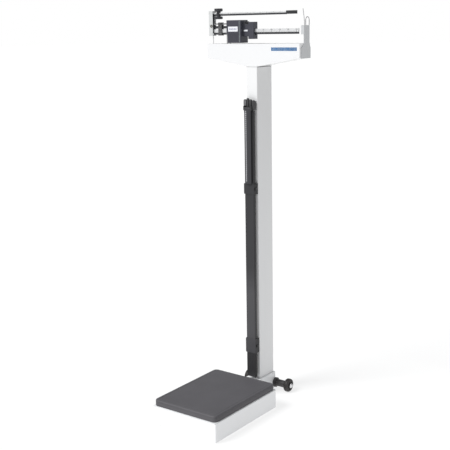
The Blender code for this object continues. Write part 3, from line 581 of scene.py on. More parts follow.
# ---------------------------------------------------------------- column
# One length of rectangular steel tube with round corners, white enamel like the base, closed by
# a small plate under the head.  The height rod's channel is screwed to its front face.
column_low, column_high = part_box("column_tube")
COLUMN_CORNER = 0.003
COLUMN_WALL = 0.0018
# The column's enamel is a darker copy of the base's white enamel, as painted shade, and its
# sideways faces are painted darker towards the top as painted shade under the head.
column_enamel_painted_shade = finish("column_enamel_painted_shade", (0.825, 0.828, 0.832), 0.36, mottle=0.006, cloud=2.0,
                       grain=380.0, bump=0.1, stretch=(1.0, 1.0, 0.5), coat=0.2,
                       painted_shade_on_sides=((0.1, 1.0), (0.7, 0.93), (1.25, 0.83)))
half = (column_high - column_low) / 2
profile = ((0.0, column_low.z), (0.0, column_high.z), (COLUMN_WALL, column_high.z),
           (COLUMN_WALL, column_low.z))
bm = bmesh.new()
loops = set_in(bm, (column_low + column_high) / 2, half.x, half.y, COLUMN_CORNER, 0.0006,
               profile, 6)
skinned(bm, loops + loops[:1])
bmesh.ops.recalc_face_normals(bm, faces=bm.faces)
shown("column_tube_drawn", bm, column_enamel_painted_shade, "white_enamel", "frame", "column_tube",
      crease=ROUND)
eased("column_top_plate", column_enamel_painted_shade, 0.0004, "white_enamel")
plate_low, plate_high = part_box("column_top_plate")
# Two thin dark strips along the sides of the top plate are a painted shadow under the head.
painted_shadow_strip = finish("painted_shadow_strip", (0.15, 0.15, 0.15), 0.7, mottle=0.1, cloud=40.0,
                       grain=1200.0, bump=0.3)
for hand, inner, outer in (("left", plate_low.x - 0.0004, plate_low.x),
                           ("right", plate_high.x, plate_high.x + 0.0004)):
    bm = box_shape((inner, column_low.y + 0.002, plate_low.z),
                   (outer, column_high.y - 0.002, plate_high.z))
    shown(f"column_top_painted_shadow_{hand}", bm, painted_shadow_strip, "dark_enamel", "frame")

# ---------------------------------------------------------------- head housing
# The head is a folded sheet trough in white enamel that hides the transfer lever, closed by a
# flat cover held with four screws.  A plain row of blue bars is printed on its front, right.
shell_low, shell_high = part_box("head_shell")
# The head's enamel is a darker copy of the base's white enamel, as painted shade.
head_enamel_painted_shade = finish("head_enamel_painted_shade", (0.82, 0.823, 0.83), 0.36, mottle=0.006, cloud=3.0,
                     grain=420.0, bump=0.1, coat=0.2)
eased("head_shell", head_enamel_painted_shade, SHEET_EDGE, "white_enamel")
eased("head_cover", head_enamel_painted_shade, 0.0004, "white_enamel")
cover_low, cover_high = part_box("head_cover")
HEAD_SCREWS = 4
COVER_EDGE = 0.012
SHELL_EDGE = 0.02
repeated("cover_screws", screw_head(0.003, 0.0015, (0, 0, 1)), screw_steel, "plain_steel",
         "frame", HEAD_SCREWS, (cover_low.x + COVER_EDGE, cover_high.y - COVER_EDGE, cover_high.z),
         ((cover_high.x - cover_low.x - 2 * COVER_EDGE) / (HEAD_SCREWS - 1), 0, 0))
repeated("shell_rear_screws", screw_head(0.003, 0.0014, (0, 1, 0)), screw_steel, "plain_steel",
         "frame", HEAD_SCREWS, (shell_low.x + SHELL_EDGE, shell_high.y, shell_high.z - 0.016),
         ((shell_high.x - shell_low.x - 2 * SHELL_EDGE) / (HEAD_SCREWS - 1), 0, 0))

MARK_LEFT = 0.083
MARK_STEP = 0.005
MARK_BARS = 21
MARK_Z = 1.2785
blue_ink = finish("blue_ink", (0.0, 0.12, 0.33), 0.45, mottle=0.12, cloud=60.0, grain=2400.0,
                  bump=0.05)
bm = box_shape((-0.0021, -0.00018, 0.0), (0.0021, 0.0, 0.0118))
repeated("printed_blue_bars", bm, blue_ink, "dark_enamel", "frame", MARK_BARS,
         (MARK_LEFT, shell_low.y, MARK_Z), (MARK_STEP, 0.0, 0.0))

stand_steel = finish("stand_steel", (0.5, 0.5, 0.51), 0.32, metal=1.0, mottle=0.08,
                     grain=800.0, bump=0.08, wear=0.4, wear_colour=(0.8, 0.8, 0.82))
eased("beam_stand", stand_steel, 0.0004, "plain_steel")
eased("shelf_stand", stand_steel, 0.0004, "plain_steel")
eased("shelf_lever", cast_iron, 0.0006, "lever_iron")

# The right-hand guide is a grey enamelled sheet post that stops the beam's swing.  A bright wire
# loop and a bent wire pointer are soldered to its top edge.
grey_enamel = finish("grey_enamel_post", (0.56, 0.57, 0.58), 0.4, mottle=0.02, cloud=12.0,
                     grain=500.0, bump=0.12, coat=0.15)
bright_wire = finish("bright_wire", (0.36, 0.36, 0.37), 0.3, metal=0.9, grain=1800.0, bump=0.03)
eased("guide_post", grey_enamel, 0.0003, "grey_enamel")


def wire(name, points, radius, paint, slot, body, node):
    """A round wire drawn smoothly through points, with closed ends."""
    curve = bpy.data.curves.new(name, "CURVE")
    curve.dimensions = "3D"
    curve.bevel_depth = radius
    curve.bevel_resolution = 4
    curve.use_fill_caps = True
    spline = curve.splines.new("POLY")
    spline.points.add(len(points) - 1)
    for point, where in zip(spline.points, points):
        point.co = (*where, 1.0)
    drawn = linked(name + "_path", curve)
    bm = bmesh.new()
    bm.from_mesh(plain_mesh(drawn))
    bpy.data.objects.remove(drawn, do_unlink=True)
    bmesh.ops.remove_doubles(bm, verts=bm.verts, dist=1e-6)
    bmesh.ops.recalc_face_normals(bm, faces=bm.faces)
    return shown(name, bm, paint, slot, body, node, crease=60.0)


loop_low, loop_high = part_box("trig_loop")
loop_x = (loop_low.x + loop_high.x) / 2
LOOP_WIRE = 0.0013
loop_radius = (loop_high.y - loop_low.y) / 2 - LOOP_WIRE
loop_y = (loop_low.y + loop_high.y) / 2
loop_z = loop_high.z - LOOP_WIRE - loop_radius
LOOP_PARTS = 20
path = [(loop_x, loop_y + loop_radius - 0.0002, loop_low.z)]
for i in range(LOOP_PARTS + 1):
    angle = math.pi * i / LOOP_PARTS
    path.append((loop_x, loop_y + loop_radius * math.cos(angle),
                 loop_z + loop_radius * math.sin(angle)))
path += [(loop_x, loop_y - loop_radius + 0.0002, loop_low.z)]
wire("trig_loop_wire", path, LOOP_WIRE, bright_wire, "bright_plate", "frame", "trig_loop")
pointer_low, pointer_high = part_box("balance_pointer")
POINTER_WIRE = 0.0011
path = [(loop_x, y, z) for y, z in (
    (0.178, pointer_high.z - 0.0004), (0.18, 1.41), (0.183, 1.398), (0.185, 1.389),
    (0.1868, 1.376), (0.1875, pointer_low.z))]
wire("balance_pointer_wire", path, POINTER_WIRE, bright_wire, "bright_plate", "frame",
     "balance_pointer")

# ---------------------------------------------------------------- stirrup that hangs on the beam
# A pale grey stirrup bent from strip hangs on the beam's load knife at the far left.  A steel
# rod with a button end runs down from it, through the cover, to the lever in the head.
stirrup_enamel = finish("stirrup_enamel", (0.62, 0.63, 0.63), 0.42, mottle=0.03, cloud=40.0,
                        grain=700.0, bump=0.15, dust=0.1, dust_colour=(0.3, 0.3, 0.3))
eased("load_stirrup", stirrup_enamel, 0.0006, "grey_enamel")
link_steel = finish("link_steel_bright", (0.8, 0.8, 0.8), 0.32, metal=0.1, mottle=0.04,
                    bump=0.08)
eased("load_link", link_steel, 0.0002, "plain_steel")
stirrup_low, stirrup_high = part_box("load_stirrup")
knife_low, knife_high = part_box("load_knife")
knife_middle = (knife_low + knife_high) / 2
bearing_steel = finish("bearing_steel", (0.2, 0.19, 0.17), 0.42, metal=0.7, mottle=0.12, bump=0.2)
for hand, sign, face in (("front", -1, stirrup_low.y), ("rear", 1, stirrup_high.y)):
    profile = [(0.0022, 0.0012), (0.0046, 0.0012), (0.0056, 0.0006), (0.0058, 0.0), (0.0022, 0.0)]
    turned(f"stirrup_bearing_{hand}", profile, (knife_middle.x, face, knife_middle.z),
           (0, sign, 0), bearing_steel, "plain_steel", "load_stirrup", steps=32)

# ---------------------------------------------------------------- weigh beam
# A dark cast bracket joins two flat bars.  Each bar carries a bright engraved scale plate along
# its top, read from both sides, and the lower bar is notched for the main poise's stops.
bar_enamel = finish("bar_enamel", (0.03, 0.031, 0.036), 0.38, mottle=0.12, cloud=40.0,
                    bump=0.15, stretch=(0.2, 1.0, 1.0), dust=0.12, dust_colour=(0.15, 0.15, 0.16))
scale_plate = finish("scale_plate_bright", (0.74, 0.745, 0.75), 0.38, metal=0.25, cloud=30.0,
                     grain=700.0, stretch=(0.06, 1.0, 1.0), bump=0.1)
engraving = finish("engraving_ink", (0.03, 0.03, 0.034), 0.6, mottle=0.15, cloud=90.0,
                   grain=2000.0, bump=0.1)
cap_plastic = finish("cap_plastic", (0.022, 0.022, 0.024), 0.42, mottle=0.1, grain=1100.0,
                     bump=0.2, dust=0.15)
eased("beam_casting", bar_enamel, 0.0006, "dark_enamel")
eased("upper_bar", bar_enamel, 0.0007, "dark_enamel", 3)
eased("upper_scale_plate", scale_plate, 0.0004, "bright_plate")
eased("lower_scale_plate", scale_plate, 0.0004, "bright_plate")
eased("upper_end_cap", cap_plastic, 0.0012, "black_plastic", 3)


def pin(half, radius, ease):
    """The profile of a round pin about its middle, its ends eased."""
    return [(0.0, half), (radius - ease, half), (radius, half - ease), (radius, ease - half),
            (radius - ease, -half), (0.0, -half)]


KNIFE_RADIUS = 0.0019
for node in ("main_knife", "load_knife"):
    low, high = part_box(node)
    turned(node + "_turned", pin((high.y - low.y) / 2, KNIFE_RADIUS, 0.0004), (low + high) / 2,
           (0, 1, 0), stand_steel, "plain_steel", "beam", node, steps=24)

NOTCHES = 6
NOTCH_STEP = 0.034
NOTCH_DEPTH = 0.0016
NOTCH_HALF = 0.0016
FIRST_NOTCH = 0.0
lower_low, lower_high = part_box("lower_bar")
outline = [(lower_low.x, lower_high.z), (lower_low.x, lower_low.z)]
for i in range(NOTCHES):
    x = FIRST_NOTCH + NOTCH_STEP * i
    if x + NOTCH_HALF < lower_high.x:
        outline += [(x - NOTCH_HALF, lower_low.z), (x, lower_low.z + NOTCH_DEPTH),
                    (x + NOTCH_HALF, lower_low.z)]
outline += [(lower_high.x, lower_low.z), (lower_high.x, lower_high.z)]


def slab(bm, outline, y_low, y_high):
    """A flat outline in X and Z given a thickness along Y."""
    front = [bm.verts.new((x, y_low, z)) for x, z in outline]
    rear = [bm.verts.new((x, y_high, z)) for x, z in outline]
    bm.faces.new(front)
    bm.faces.new(rear[::-1])
    for i in range(len(outline)):
        j = (i + 1) % len(outline)
        bm.faces.new((front[j], front[i], rear[i], rear[j]))
    bmesh.ops.recalc_face_normals(bm, faces=bm.faces)


bm = bmesh.new()
slab(bm, outline, lower_low.y, lower_high.y)
ease_corners(bm, 0.0004, 1)
shown("lower_bar_notched", bm, bar_enamel, "dark_enamel", "beam", "lower_bar")


INK = 0.00012


def engraved(name, node, first, unit, values, ticks, every, width, height, lift, size, rise,
             longer):
    """Ticks and upright figures in raised ink on the front of a scale plate and on its back.

    The first figure stands at first and the others a unit apart.  Every so-many-th tick is
    longer and falls on a figure; lift and rise are heights over the plate's lower edge.
    """
    low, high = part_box(node)
    pair = box_shape((-width / 2, low.y - INK, 0.0), (width / 2, low.y, height),
                     (-width / 2, high.y, 0.0), (width / 2, high.y + INK, height))
    repeated(name + "_ticks", pair, engraving, "dark_enamel", "beam", ticks,
             (first, 0.0, low.z + lift), (unit / every, 0, 0), every=every, longer=longer)
    name += "_figures"
    joined = bmesh.new()
    for number, words in enumerate(values):
        x = first + unit * number
        z = low.z + rise
        curve = bpy.data.curves.new(name, "FONT")
        curve.body = str(words)
        curve.size = size
        curve.align_x = "CENTER"
        curve.align_y = "CENTER"
        curve.resolution_u = 2
        curve.extrude = 0.00006
        letter = linked(name, curve)
        mesh = plain_mesh(letter)
        bpy.data.objects.remove(letter, do_unlink=True)
        for y, heading in ((low.y, 0.0), (high.y, math.pi)):
            where = Matrix.Translation((x, y, z)) @ Matrix.Rotation(heading, 4, "Z")
            copy = mesh.copy()
            copy.transform(where @ Matrix.Rotation(math.pi / 2, 4, "X"))
            joined.from_mesh(copy)
    bmesh.ops.remove_doubles(joined, verts=joined.verts, dist=1e-6)
    piece = linked_mesh(name, joined)
    piece.data.materials.clear()
    piece.data.materials.append(engraving)
    hand_over(piece, "dark_enamel", "beam")


UPPER_FIRST = -0.143
UPPER_UNIT = 0.0274
engraved("upper", "upper_scale_plate", UPPER_FIRST, UPPER_UNIT, range(0, 50, 5), ticks=99,
         every=10, width=0.0003, height=0.0011, lift=0.0001, size=0.0026, rise=0.0034,
         longer=(1.5, 1.0, 1.7))
engraved("lower", "lower_scale_plate", FIRST_NOTCH, NOTCH_STEP, range(0, 50 * NOTCHES, 50),
         ticks=27, every=5, width=0.00045, height=0.003, lift=0.0002, size=0.0058, rise=0.0083,
         longer=(2.2, 1.0, 1.7))

# ---------------------------------------------------------------- balance weight on its screw
# A small dark weight straddles the web on a threaded steel spindle.  Turning it along the
# thread zeroes the empty scale.
screw_low, screw_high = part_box("balance_screw")
screw_middle = (screw_low + screw_high) / 2
THREAD_PITCH = 0.001
profile = [(0.0, screw_low.x), (0.002, screw_low.x)]
x = screw_low.x + 0.0006
while x < screw_high.x - 0.001:
    profile += [(0.0022, x), (0.0018, x + THREAD_PITCH / 2)]
    x += THREAD_PITCH
profile += [(0.002, screw_high.x), (0.0, screw_high.x)]
turned("balance_screw_threaded", profile, (0.0, screw_middle.y, screw_middle.z), (1, 0, 0),
       stand_steel, "plain_steel", "beam", "balance_screw", steps=24)
weight_iron = finish("weight_iron", (0.06, 0.058, 0.06), 0.5, mottle=0.12, cloud=60.0,
                     grain=800.0, bump=0.35, depth=0.0003, wear=0.25)
eased("balance_weight", weight_iron, 0.0008, "poise_enamel")
weight_low, weight_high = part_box("balance_weight")
GRIP_HALF = 0.0004
GRIP_PROUD = 0.0003
grip_low = weight_low.z + 0.004
grip_high = weight_high.z - 0.004
bm = box_shape((-GRIP_HALF, weight_low.y - GRIP_PROUD, grip_low),
               (GRIP_HALF, weight_low.y, grip_high), (-GRIP_HALF, weight_high.y, grip_low),
               (GRIP_HALF, weight_high.y + GRIP_PROUD, grip_high))
repeated("balance_weight_grip", bm, weight_iron, "poise_enamel", "balance_weight", 7,
         (weight_low.x + 0.0026, 0.0, 0.0), ((weight_high.x - weight_low.x - 0.0052) / 6, 0, 0))

# ---------------------------------------------------------------- main poise
# The big poise is a dark blue-grey casting that rides the lower bar, with a narrow neck, a deep
# nose and a spring pawl.  It has a white card on its front, a white index, and a bright strip
# that is a painted highlight of the lit edge of its front.
poise_enamel = finish("poise_enamel_blue", (0.047, 0.047, 0.063), 0.42, mottle=0.07, cloud=50.0,
                      bump=0.3, depth=0.0003, coat=0.1)
card_white = finish("card_white", (0.82, 0.83, 0.87), 0.5, mottle=0.03, cloud=80.0, grain=1500.0,
                    bump=0.1)
card_grey = finish("card_grey", (0.3, 0.32, 0.42), 0.6, mottle=0.1, cloud=80.0, grain=1500.0,
                   bump=0.1)
# Painted highlight colour for the bright strip on the poise's front.
painted_highlight_strip = finish("painted_highlight_strip", (0.4, 0.45, 0.44), 0.3, metal=0.6, bump=0.05)
eased("main_poise", poise_enamel, 0.0014, "poise_enamel", 3)
eased("poise_pawl", cap_plastic, 0.0006, "black_plastic")
poise_low, poise_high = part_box("main_poise")
BODY_RIGHT = -0.049


def poise_plate(name, x0, x1, z0, z1, y, thick, radius, paint):
    """A thin plate with round corners lying against a face that looks to the front."""
    outline = []
    for cx, cz, start in ((x1 - radius, z1 - radius, 0), (x0 + radius, z1 - radius, 90),
                          (x0 + radius, z0 + radius, 180), (x1 - radius, z0 + radius, 270)):
        for i in range(5):
            angle = math.radians(start + 22.5 * i)
            outline.append((cx + radius * math.cos(angle), cz + radius * math.sin(angle)))
    bm = bmesh.new()
    slab(bm, outline, y - thick, y)
    return shown(name, bm, paint, "bright_plate", "main_poise")


CARD_THICK = 0.0004
poise_plate("poise_card", -0.104, -0.0625, 1.3455, 1.3628, poise_low.y, CARD_THICK, 0.001,
            card_white)
bm = box_shape((-0.0013, -0.00015, -0.0018), (0.0013, 0.0, 0.0018))
repeated("poise_card_bars", bm, card_grey, "poise_enamel", "main_poise", 9,
         (-0.0975, poise_low.y - CARD_THICK, 1.3541), (0.0036, 0.0, 0.0), every=3,
         longer=(1.0, 1.0, 1.4))
# This thin bright strip on the poise's front is a painted highlight of its lit edge.
poise_plate("poise_edge_highlight", -0.0562, -0.0546, poise_low.z + 0.003, poise_high.z - 0.003,
            poise_low.y, 0.0005, 0.0005, painted_highlight_strip)
index_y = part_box("beam_stand")[0].y + 0.0015
poise_plate("poise_index", -0.0455, -0.029, 1.3455, 1.351, index_y, CARD_THICK, 0.0008,
            card_white)
RIB_HALF = 0.0006
RIB_PROUD = 0.0004
SCREW_INSET = 0.008
rib_left = poise_low.x + 0.006
bm = box_shape((rib_left, poise_low.y - RIB_PROUD, -RIB_HALF), (-0.058, poise_low.y, RIB_HALF),
               (rib_left, poise_high.y, -RIB_HALF),
               (BODY_RIGHT - 0.004, poise_high.y + RIB_PROUD, RIB_HALF))
repeated("poise_grip_ribs", bm, poise_enamel, "poise_enamel", "main_poise", 10,
         (0.0, 0.0, poise_low.z + 0.005), (0.0, 0.0, 0.0032))
repeated("poise_rear_screws", screw_head(0.0024, 0.0012, (0, 1, 0)), screw_steel, "plain_steel",
         "main_poise", 2, (poise_low.x + SCREW_INSET, poise_high.y, poise_high.z - SCREW_INSET),
         (BODY_RIGHT - poise_low.x - 2 * SCREW_INSET, 0, 0))

# ---------------------------------------------------------------- small poise
# A turned spool with two wide collars, painted dark like the main poise.  The upper bar runs
# through its waist, and its collars are finely milled for the fingers.
SPOOL_WAIST = 0.0075
SLOT_HALF = 0.0038
SLOT_ROOM = 0.0008
small_enamel = finish("small_poise_enamel", (0.03, 0.03, 0.036), 0.42, mottle=0.1, cloud=60.0,
                      bump=0.25, dust=0.1, dust_colour=(0.12, 0.12, 0.13))
spool_low, spool_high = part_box("small_poise")
middle = (spool_low + spool_high) / 2
radius = (spool_high.x - spool_low.x) / 2
z = spool_high.z
profile = [(0.0, z), (radius - 0.002, z), (radius - 0.0006, z - 0.0006), (radius, z - 0.0018),
           (radius, z - 0.0084), (radius - 0.0006, z - 0.0096), (radius - 0.003, z - 0.0106),
           (SPOOL_WAIST + 0.0008, z - 0.0114), (SPOOL_WAIST, z - 0.0126)]
z = spool_low.z
profile += [(SPOOL_WAIST, z + 0.0112), (SPOOL_WAIST + 0.0008, z + 0.01),
            (radius - 0.003, z + 0.0092), (radius - 0.0006, z + 0.0086), (radius, z + 0.0074),
            (radius, z + 0.0018), (radius - 0.0006, z + 0.0006), (radius - 0.002, z), (0.0, z)]
bm = bmesh.new()
lathe(bm, profile, (middle.x, middle.y, 0.0), (0, 0, 1), 56)
whole = linked_mesh("spool", bm)
slot_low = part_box("upper_bar")[0].z - SLOT_ROOM
slot_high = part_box("upper_scale_plate")[1].z + SLOT_ROOM
cutter = linked_mesh("slot_cutter", box_shape((middle.x - 0.03, middle.y - SLOT_HALF, slot_low),
                                              (middle.x + 0.03, middle.y + SLOT_HALF, slot_high)))
cut = whole.modifiers.new("slot", "BOOLEAN")
cut.operation = "DIFFERENCE"
cut.solver = "EXACT"
cut.object = cutter
bm = bmesh.new()
bm.from_mesh(plain_mesh(whole))
for solid in (whole, cutter):
    bpy.data.objects.remove(solid, do_unlink=True)
shown("small_poise_spool", bm, small_enamel, "poise_enamel", "small_poise", "small_poise",
      crease=ROUND)

# ---------------------------------------------------------------- height rod
# The height rod is a dark anodised channel on the column's front, with a sliding inner section.
# A moulded head with four rounded fingers carries the folding arm, which hangs down in front.
# The rod's colour is painted darker below the lower clip and up towards the head as painted shade,
# brighter just above the lower clip up to about 0.4 m as a painted reflection, and darker on its
# sideways faces as painted shade.
rod_dark = finish("rod_dark_anodised", (0.074, 0.073, 0.079), 0.46, cloud=8.0, grain=600.0,
                  stretch=(1.0, 1.0, 0.02), bump=0.18, shine=0.3,
                  painted_light_by_height=((0.185, 0.42), (0.205, 1.0), (0.4, 0.95), (0.5, 0.5), (0.8, 0.46),
                        (1.1, 0.42)),
                  painted_shade_on_sides=((0.2, 0.5), (1.1, 0.62)))
rod_plastic = finish("rod_plastic", (0.048, 0.048, 0.051), 0.42, mottle=0.1, cloud=50.0,
                     grain=1000.0, bump=0.2, dust=0.1, dust_colour=(0.12, 0.12, 0.12))
arm_dark = finish("arm_dark_anodised", (0.04, 0.04, 0.045), 0.42, mottle=0.06, cloud=10.0,
                  grain=600.0, stretch=(1.0, 1.0, 0.02), bump=0.15, shine=0.35)
pale_ink = finish("pale_ink", (0.46, 0.46, 0.48), 0.55, mottle=0.1, cloud=90.0, grain=1800.0,
                  bump=0.1)
eased("rod_channel", rod_dark, 0.0005, "dark_enamel")
eased("inner_rod", rod_dark, 0.0004, "rod_aluminium")

# The head is a moulded block with four upright round-topped fingers across its front, the
# second the tallest, and two ears that hold the arm's hinge pin.
head_low, head_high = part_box("rod_head")
FINGER_TOPS = (0.0045, 0.0, 0.004, 0.0065)
FINGER_GAP = 0.0009
DOME_PARTS = 8
EAR_TOP = 1.089
EAR_OUTER = 0.0158
ear_front = head_low.y
block_front = ear_front + 0.0105
pitch = (head_high.x - head_low.x) / len(FINGER_TOPS)
radius = (pitch - FINGER_GAP) / 2
bm = box_shape((head_low.x + 0.0004, block_front + 0.0075, head_low.z),
               (head_high.x - 0.0004, head_high.y, head_high.z - 0.011))
ease_corners(bm, 0.0012, 3)
for number, drop in enumerate(FINGER_TOPS):
    x = head_low.x + pitch * (number + 0.5)
    top_z = head_high.z - drop
    profile = [(0.0, top_z)]
    for i in range(1, DOME_PARTS + 1):
        angle = math.pi / 2 * i / DOME_PARTS
        profile.append((radius * math.sin(angle), top_z - radius * (1.0 - math.cos(angle))))
    profile += [(radius, head_low.z + 0.0016), (radius - 0.0016, head_low.z), (0.0, head_low.z)]
    lathe(bm, profile, (x, block_front + radius, 0.0), (0, 0, 1), 32)
    band = top_z - radius - 0.006
    profile = [(radius * 0.98, band), (radius + 0.0003, band - 0.0006),
               (radius + 0.0003, band - 0.0018), (radius * 0.98, band - 0.0024)]
    lathe(bm, profile, (x, block_front + radius, 0.0), (0, 0, 1), 32)
shown("rod_head_fingers", bm, rod_plastic, "black_plastic", "height_rod", "rod_head",
      crease=ROUND)
arm_low, arm_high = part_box("measuring_arm")
ear_inner = arm_high.x + 0.0006
ear_back = block_front + 0.006
bm = box_shape((-EAR_OUTER, ear_front, head_low.z), (-ear_inner, ear_back, EAR_TOP),
               (ear_inner, ear_front, head_low.z), (EAR_OUTER, ear_back, EAR_TOP))
ease_corners(bm, 0.001, 3)
shown("rod_head_ears", bm, rod_plastic, "black_plastic", "height_rod")

# The arm is a thin dark strip, slightly crowned across its front, that hangs from the pin.
pin_low, pin_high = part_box("arm_hinge_pin")
pin_middle = (pin_low + pin_high) / 2
knuckle = arm_high.z - pin_middle.z
arm_half = (arm_high.x - arm_low.x) / 2
arm_length = pin_middle.z - arm_low.z
CROWN = 0.0032
ARM_LEAN = 0.0008
ACROSS = 10
KNUCKLE_PARTS = 6
rows = []
for i in range(KNUCKLE_PARTS + 1):
    angle = math.pi * (0.5 - i / KNUCKLE_PARTS * 0.5)
    rows.append((pin_middle.y - knuckle * math.cos(angle),
                 pin_middle.z + knuckle * math.sin(angle), 0.0))
for down, crowned in ((0.006, 0.3), (0.02, 1.0), (0.1, 1.0), (0.18, 1.0),
                      (arm_length - 0.003, 1.0), (arm_length, 1.0)):
    rows.append((pin_middle.y - knuckle + ARM_LEAN * down / arm_length, pin_middle.z - down,
                 crowned))
bm = bmesh.new()
rings = []
for y, z, crowned in rows:
    front = []
    back = []
    slant = (pin_middle.z - z) / arm_length
    depth = (0.0036 - 0.0026 * slant) if z < pin_middle.z - 0.001 else knuckle * 0.98
    rear_y = pin_middle.y + depth
    if z > pin_middle.z + 0.0001:
        rear_y = 2 * pin_middle.y - y
    for i in range(ACROSS + 1):
        share = 2.0 * i / ACROSS - 1.0
        x = arm_half * share
        front.append(bm.verts.new((x, y + CROWN * crowned * share * share, z)))
        back.append(bm.verts.new((x, max(rear_y, y + CROWN * crowned + 0.0002), z)))
    rings.append(front + back[::-1])
skinned(bm, rings)
for ring in (rings[0], rings[-1]):
    for i in range(ACROSS):
        bm.faces.new((ring[i], ring[i + 1], ring[-2 - i], ring[-1 - i]))
bmesh.ops.remove_doubles(bm, verts=bm.verts, dist=1e-5)
bmesh.ops.recalc_face_normals(bm, faces=bm.faces)
shown("measuring_arm_crowned", bm, arm_dark, "dark_enamel", "measuring_arm", "measuring_arm",
      crease=ROUND)
turned("arm_hinge_pin_turned", pin(EAR_OUTER + 0.0006, 0.0022, 0.0006), pin_middle, (1, 0, 0),
       rod_plastic, "plain_steel", "height_rod", "arm_hinge_pin", steps=24)

# A narrow pale scale strip is let into the arm's left half, with a tick for every division.
strip_ink = finish("strip_grey", (0.2, 0.2, 0.21), 0.5, mottle=0.08, cloud=30.0, grain=1200.0,
                   bump=0.1)
STRIP_MIDDLE = -0.0052
STRIP_HALF = 0.0022
TICK_STEP = 0.0072
TICK_HALF = 0.0014
strip_top = pin_middle.z - 0.008
strip_y = pin_middle.y - knuckle
bm = box_shape((STRIP_MIDDLE - STRIP_HALF, strip_y + 0.00004, arm_low.z + 0.006),
               (STRIP_MIDDLE + STRIP_HALF, strip_y + 0.002, strip_top))
for vert in bm.verts:
    vert.co.y += ARM_LEAN * (pin_middle.z - vert.co.z) / arm_length
shown("arm_scale_strip", bm, strip_ink, "bright_plate", "measuring_arm")
bm = box_shape((STRIP_MIDDLE - STRIP_HALF * 0.9, strip_y - 0.0001, -TICK_HALF),
               (STRIP_MIDDLE + STRIP_HALF * 0.9, strip_y + 0.0012, TICK_HALF))
ticks = int((strip_top - 0.002 - arm_low.z - 0.008) / TICK_STEP) + 1
repeated("arm_ticks", bm, pale_ink, "bright_plate", "measuring_arm", ticks,
         (0.0, 0.0, strip_top - 0.002), (0.0, ARM_LEAN * TICK_STEP / arm_length, -TICK_STEP))

# The same scale runs on up the head's first finger.
bm = box_shape((-0.0158, block_front - 0.0004, EAR_TOP + 0.0005),
               (-0.0124, block_front + 0.004, 1.108))
shown("head_scale_strip", bm, strip_ink, "bright_plate", "height_rod")
bm = box_shape((-0.0155, block_front - 0.0006, -TICK_HALF), (-0.0127, block_front, TICK_HALF))
repeated("head_ticks", bm, pale_ink, "bright_plate", "height_rod", 3, (0.0, 0.0, 1.105),
         (0.0, 0.0, -0.0064))

# ---------------------------------------------------------------- clips round the rod
# Two moulded straps hold the channel to the column and lock the rod.  Each is closed by a
# small knurled thumb screw on the right.
# The clips' colour is painted darker higher up, so the upper clip is darker, and darker on their
# sideways faces: painted shade.
clip_plastic = finish("clip_plastic", (0.062, 0.061, 0.067), 0.48, mottle=0.06, cloud=40.0,
                      bump=0.2, shine=0.3, painted_light_by_height=((0.25, 1.0), (0.7, 0.55)),
                      painted_shade_on_sides=((0.2, 0.5), (1.1, 0.6)))
thumb_steel = finish("thumb_steel", (0.035, 0.035, 0.037), 0.4, metal=0.2, mottle=0.1,
                     grain=1500.0, bump=0.1)
KNURLS = 24
for clip in ("upper_clip", "lower_clip"):
    eased(clip, clip_plastic, 0.0007, "black_plastic", 3)
    node = clip + "_screw"
    low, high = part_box(node)
    middle = (low + high) / 2
    head = (high.z - low.z) / 2
    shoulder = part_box(clip)[1].x
    profile = [(0.0, high.x - 0.0004), (head - 0.0018, high.x), (head - 0.0009, high.x),
               (head - 0.0004, high.x - 0.0008), (head - 0.0004, shoulder + 0.001),
               (head - 0.001, shoulder + 0.0003), (0.0014, shoulder + 0.0003), (0.0014, low.x),
               (0.0, low.x)]
    body = frame["nodes"][node]["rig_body"]
    at = (0.0, middle.y, middle.z)
    turned(node + "_turned", profile, at, (1, 0, 0), thumb_steel, "plain_steel", body, node,
           steps=32)
    bm = box_shape((shoulder + 0.0012, -0.0002, head - 0.0006),
                   (high.x - 0.0009, 0.0002, head - 0.0001))
    repeated(node + "_knurl", bm, thumb_steel, "plain_steel", body, KNURLS, at,
             turn_by=(2 * math.pi / KNURLS, 0, 0))

# ---------------------------------------------------------------- transport wheels
# A stub axle sticks out each side of the neck, with a flange against the cover.  A ribbed
# rubber wheel turns on its end behind a bright pressed-on hub nut.
wheel_rubber = finish("wheel_rubber_brown", (0.03, 0.026, 0.025), 0.48, mottle=0.15, cloud=60.0,
                      bump=0.3, dust=0.15, dust_colour=(0.1, 0.09, 0.08))
axle_black = finish("axle_black", (0.034, 0.03, 0.03), 0.36, mottle=0.12, cloud=60.0,
                    grain=800.0, bump=0.15, wear=0.2)
nut_bright = finish("nut_bright", (0.74, 0.74, 0.75), 0.26, metal=0.9, mottle=0.06, grain=1400.0,
                    bump=0.05)
GROOVES = 3
SPOKES = 6
DISH = 0.0018
SHOULDER = 0.0056


def reach(node):
    """How far a node's near end and far end are from the middle plane."""
    low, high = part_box(node)
    return sorted((abs(low.x), abs(high.x)))


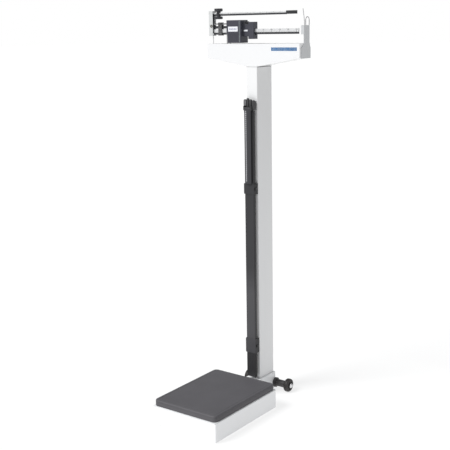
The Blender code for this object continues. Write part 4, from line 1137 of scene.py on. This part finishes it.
for hand, sign in (("left", -1), ("right", 1)):
    wheel = "wheel_" + hand
    low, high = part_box(wheel)
    middle = (low + high) / 2
    inner, outer = reach(wheel)
    rim = (high.z - low.z) / 2
    at = (0.0, middle.y, middle.z)
    axis = (sign, 0, 0)
    # One side face as (radius, how far it is sunk), from the bore out to the tread.
    face = [(0.0054, 0.0006), (0.0066, 0.0), (0.01, 0.0), (0.0112, DISH), (0.0165, DISH),
            (0.0178, 0.0), (0.0205, 0.0002), (0.0232, 0.0014), (rim - 0.0004, 0.0036),
            (rim, SHOULDER)]
    profile = [(radius, outer - sunk) for radius, sunk in face]
    for i in range(GROOVES):
        x = outer - SHOULDER - (outer - inner - 2 * SHOULDER) * (i + 0.5) / GROOVES
        profile += [(rim, x + 0.0009), (rim - 0.0008, x + 0.0004), (rim - 0.0008, x - 0.0004),
                    (rim, x - 0.0009)]
    profile += [(radius, inner + sunk) for radius, sunk in face[::-1]]
    turned(wheel + "_moulded", profile, at, axis, wheel_rubber, "wheel_rubber", wheel, wheel,
           steps=72)
    x_low, x_high = sorted((sign * (outer - DISH), sign * outer))
    repeated(wheel + "_spokes", box_shape((x_low, -0.0009, 0.0112), (x_high, 0.0009, 0.0166)),
             wheel_rubber, "wheel_rubber", wheel, SPOKES, at, turn_by=(2 * math.pi / SPOKES, 0, 0))
    neck, tip = reach("axle_" + hand)
    profile = [(0.0, tip), (0.0044, tip), (0.005, tip - 0.0006), (0.005, 0.076),
               (0.0126, 0.076), (0.0135, 0.0751), (0.0135, 0.056), (0.013, 0.0555),
               (0.013, 0.0545), (0.0135, 0.054), (0.0135, 0.04), (0.014, 0.0394),
               (0.0178, 0.0388), (0.0185, 0.038), (0.0185, neck + 0.0006), (0.018, neck),
               (0.0, neck)]
    turned(f"axle_{hand}_turned", profile, at, axis, axle_black, "dark_enamel", "frame",
           "axle_" + hand, steps=64)
    near, far = reach("hub_nut_" + hand)
    profile = [(0.0, far), (0.003, far - 0.0002), (0.0058, far - 0.001), (0.0064, far - 0.0022),
               (0.0086, near + 0.0012), (0.009, near + 0.0006), (0.009, near), (0.0, near)]
    turned(f"hub_nut_{hand}_pressed", profile, at, axis, nut_bright, "bright_plate", "frame",
           "hub_nut_" + hand)

# ---------------------------------------------------------------- sizes
low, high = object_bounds()
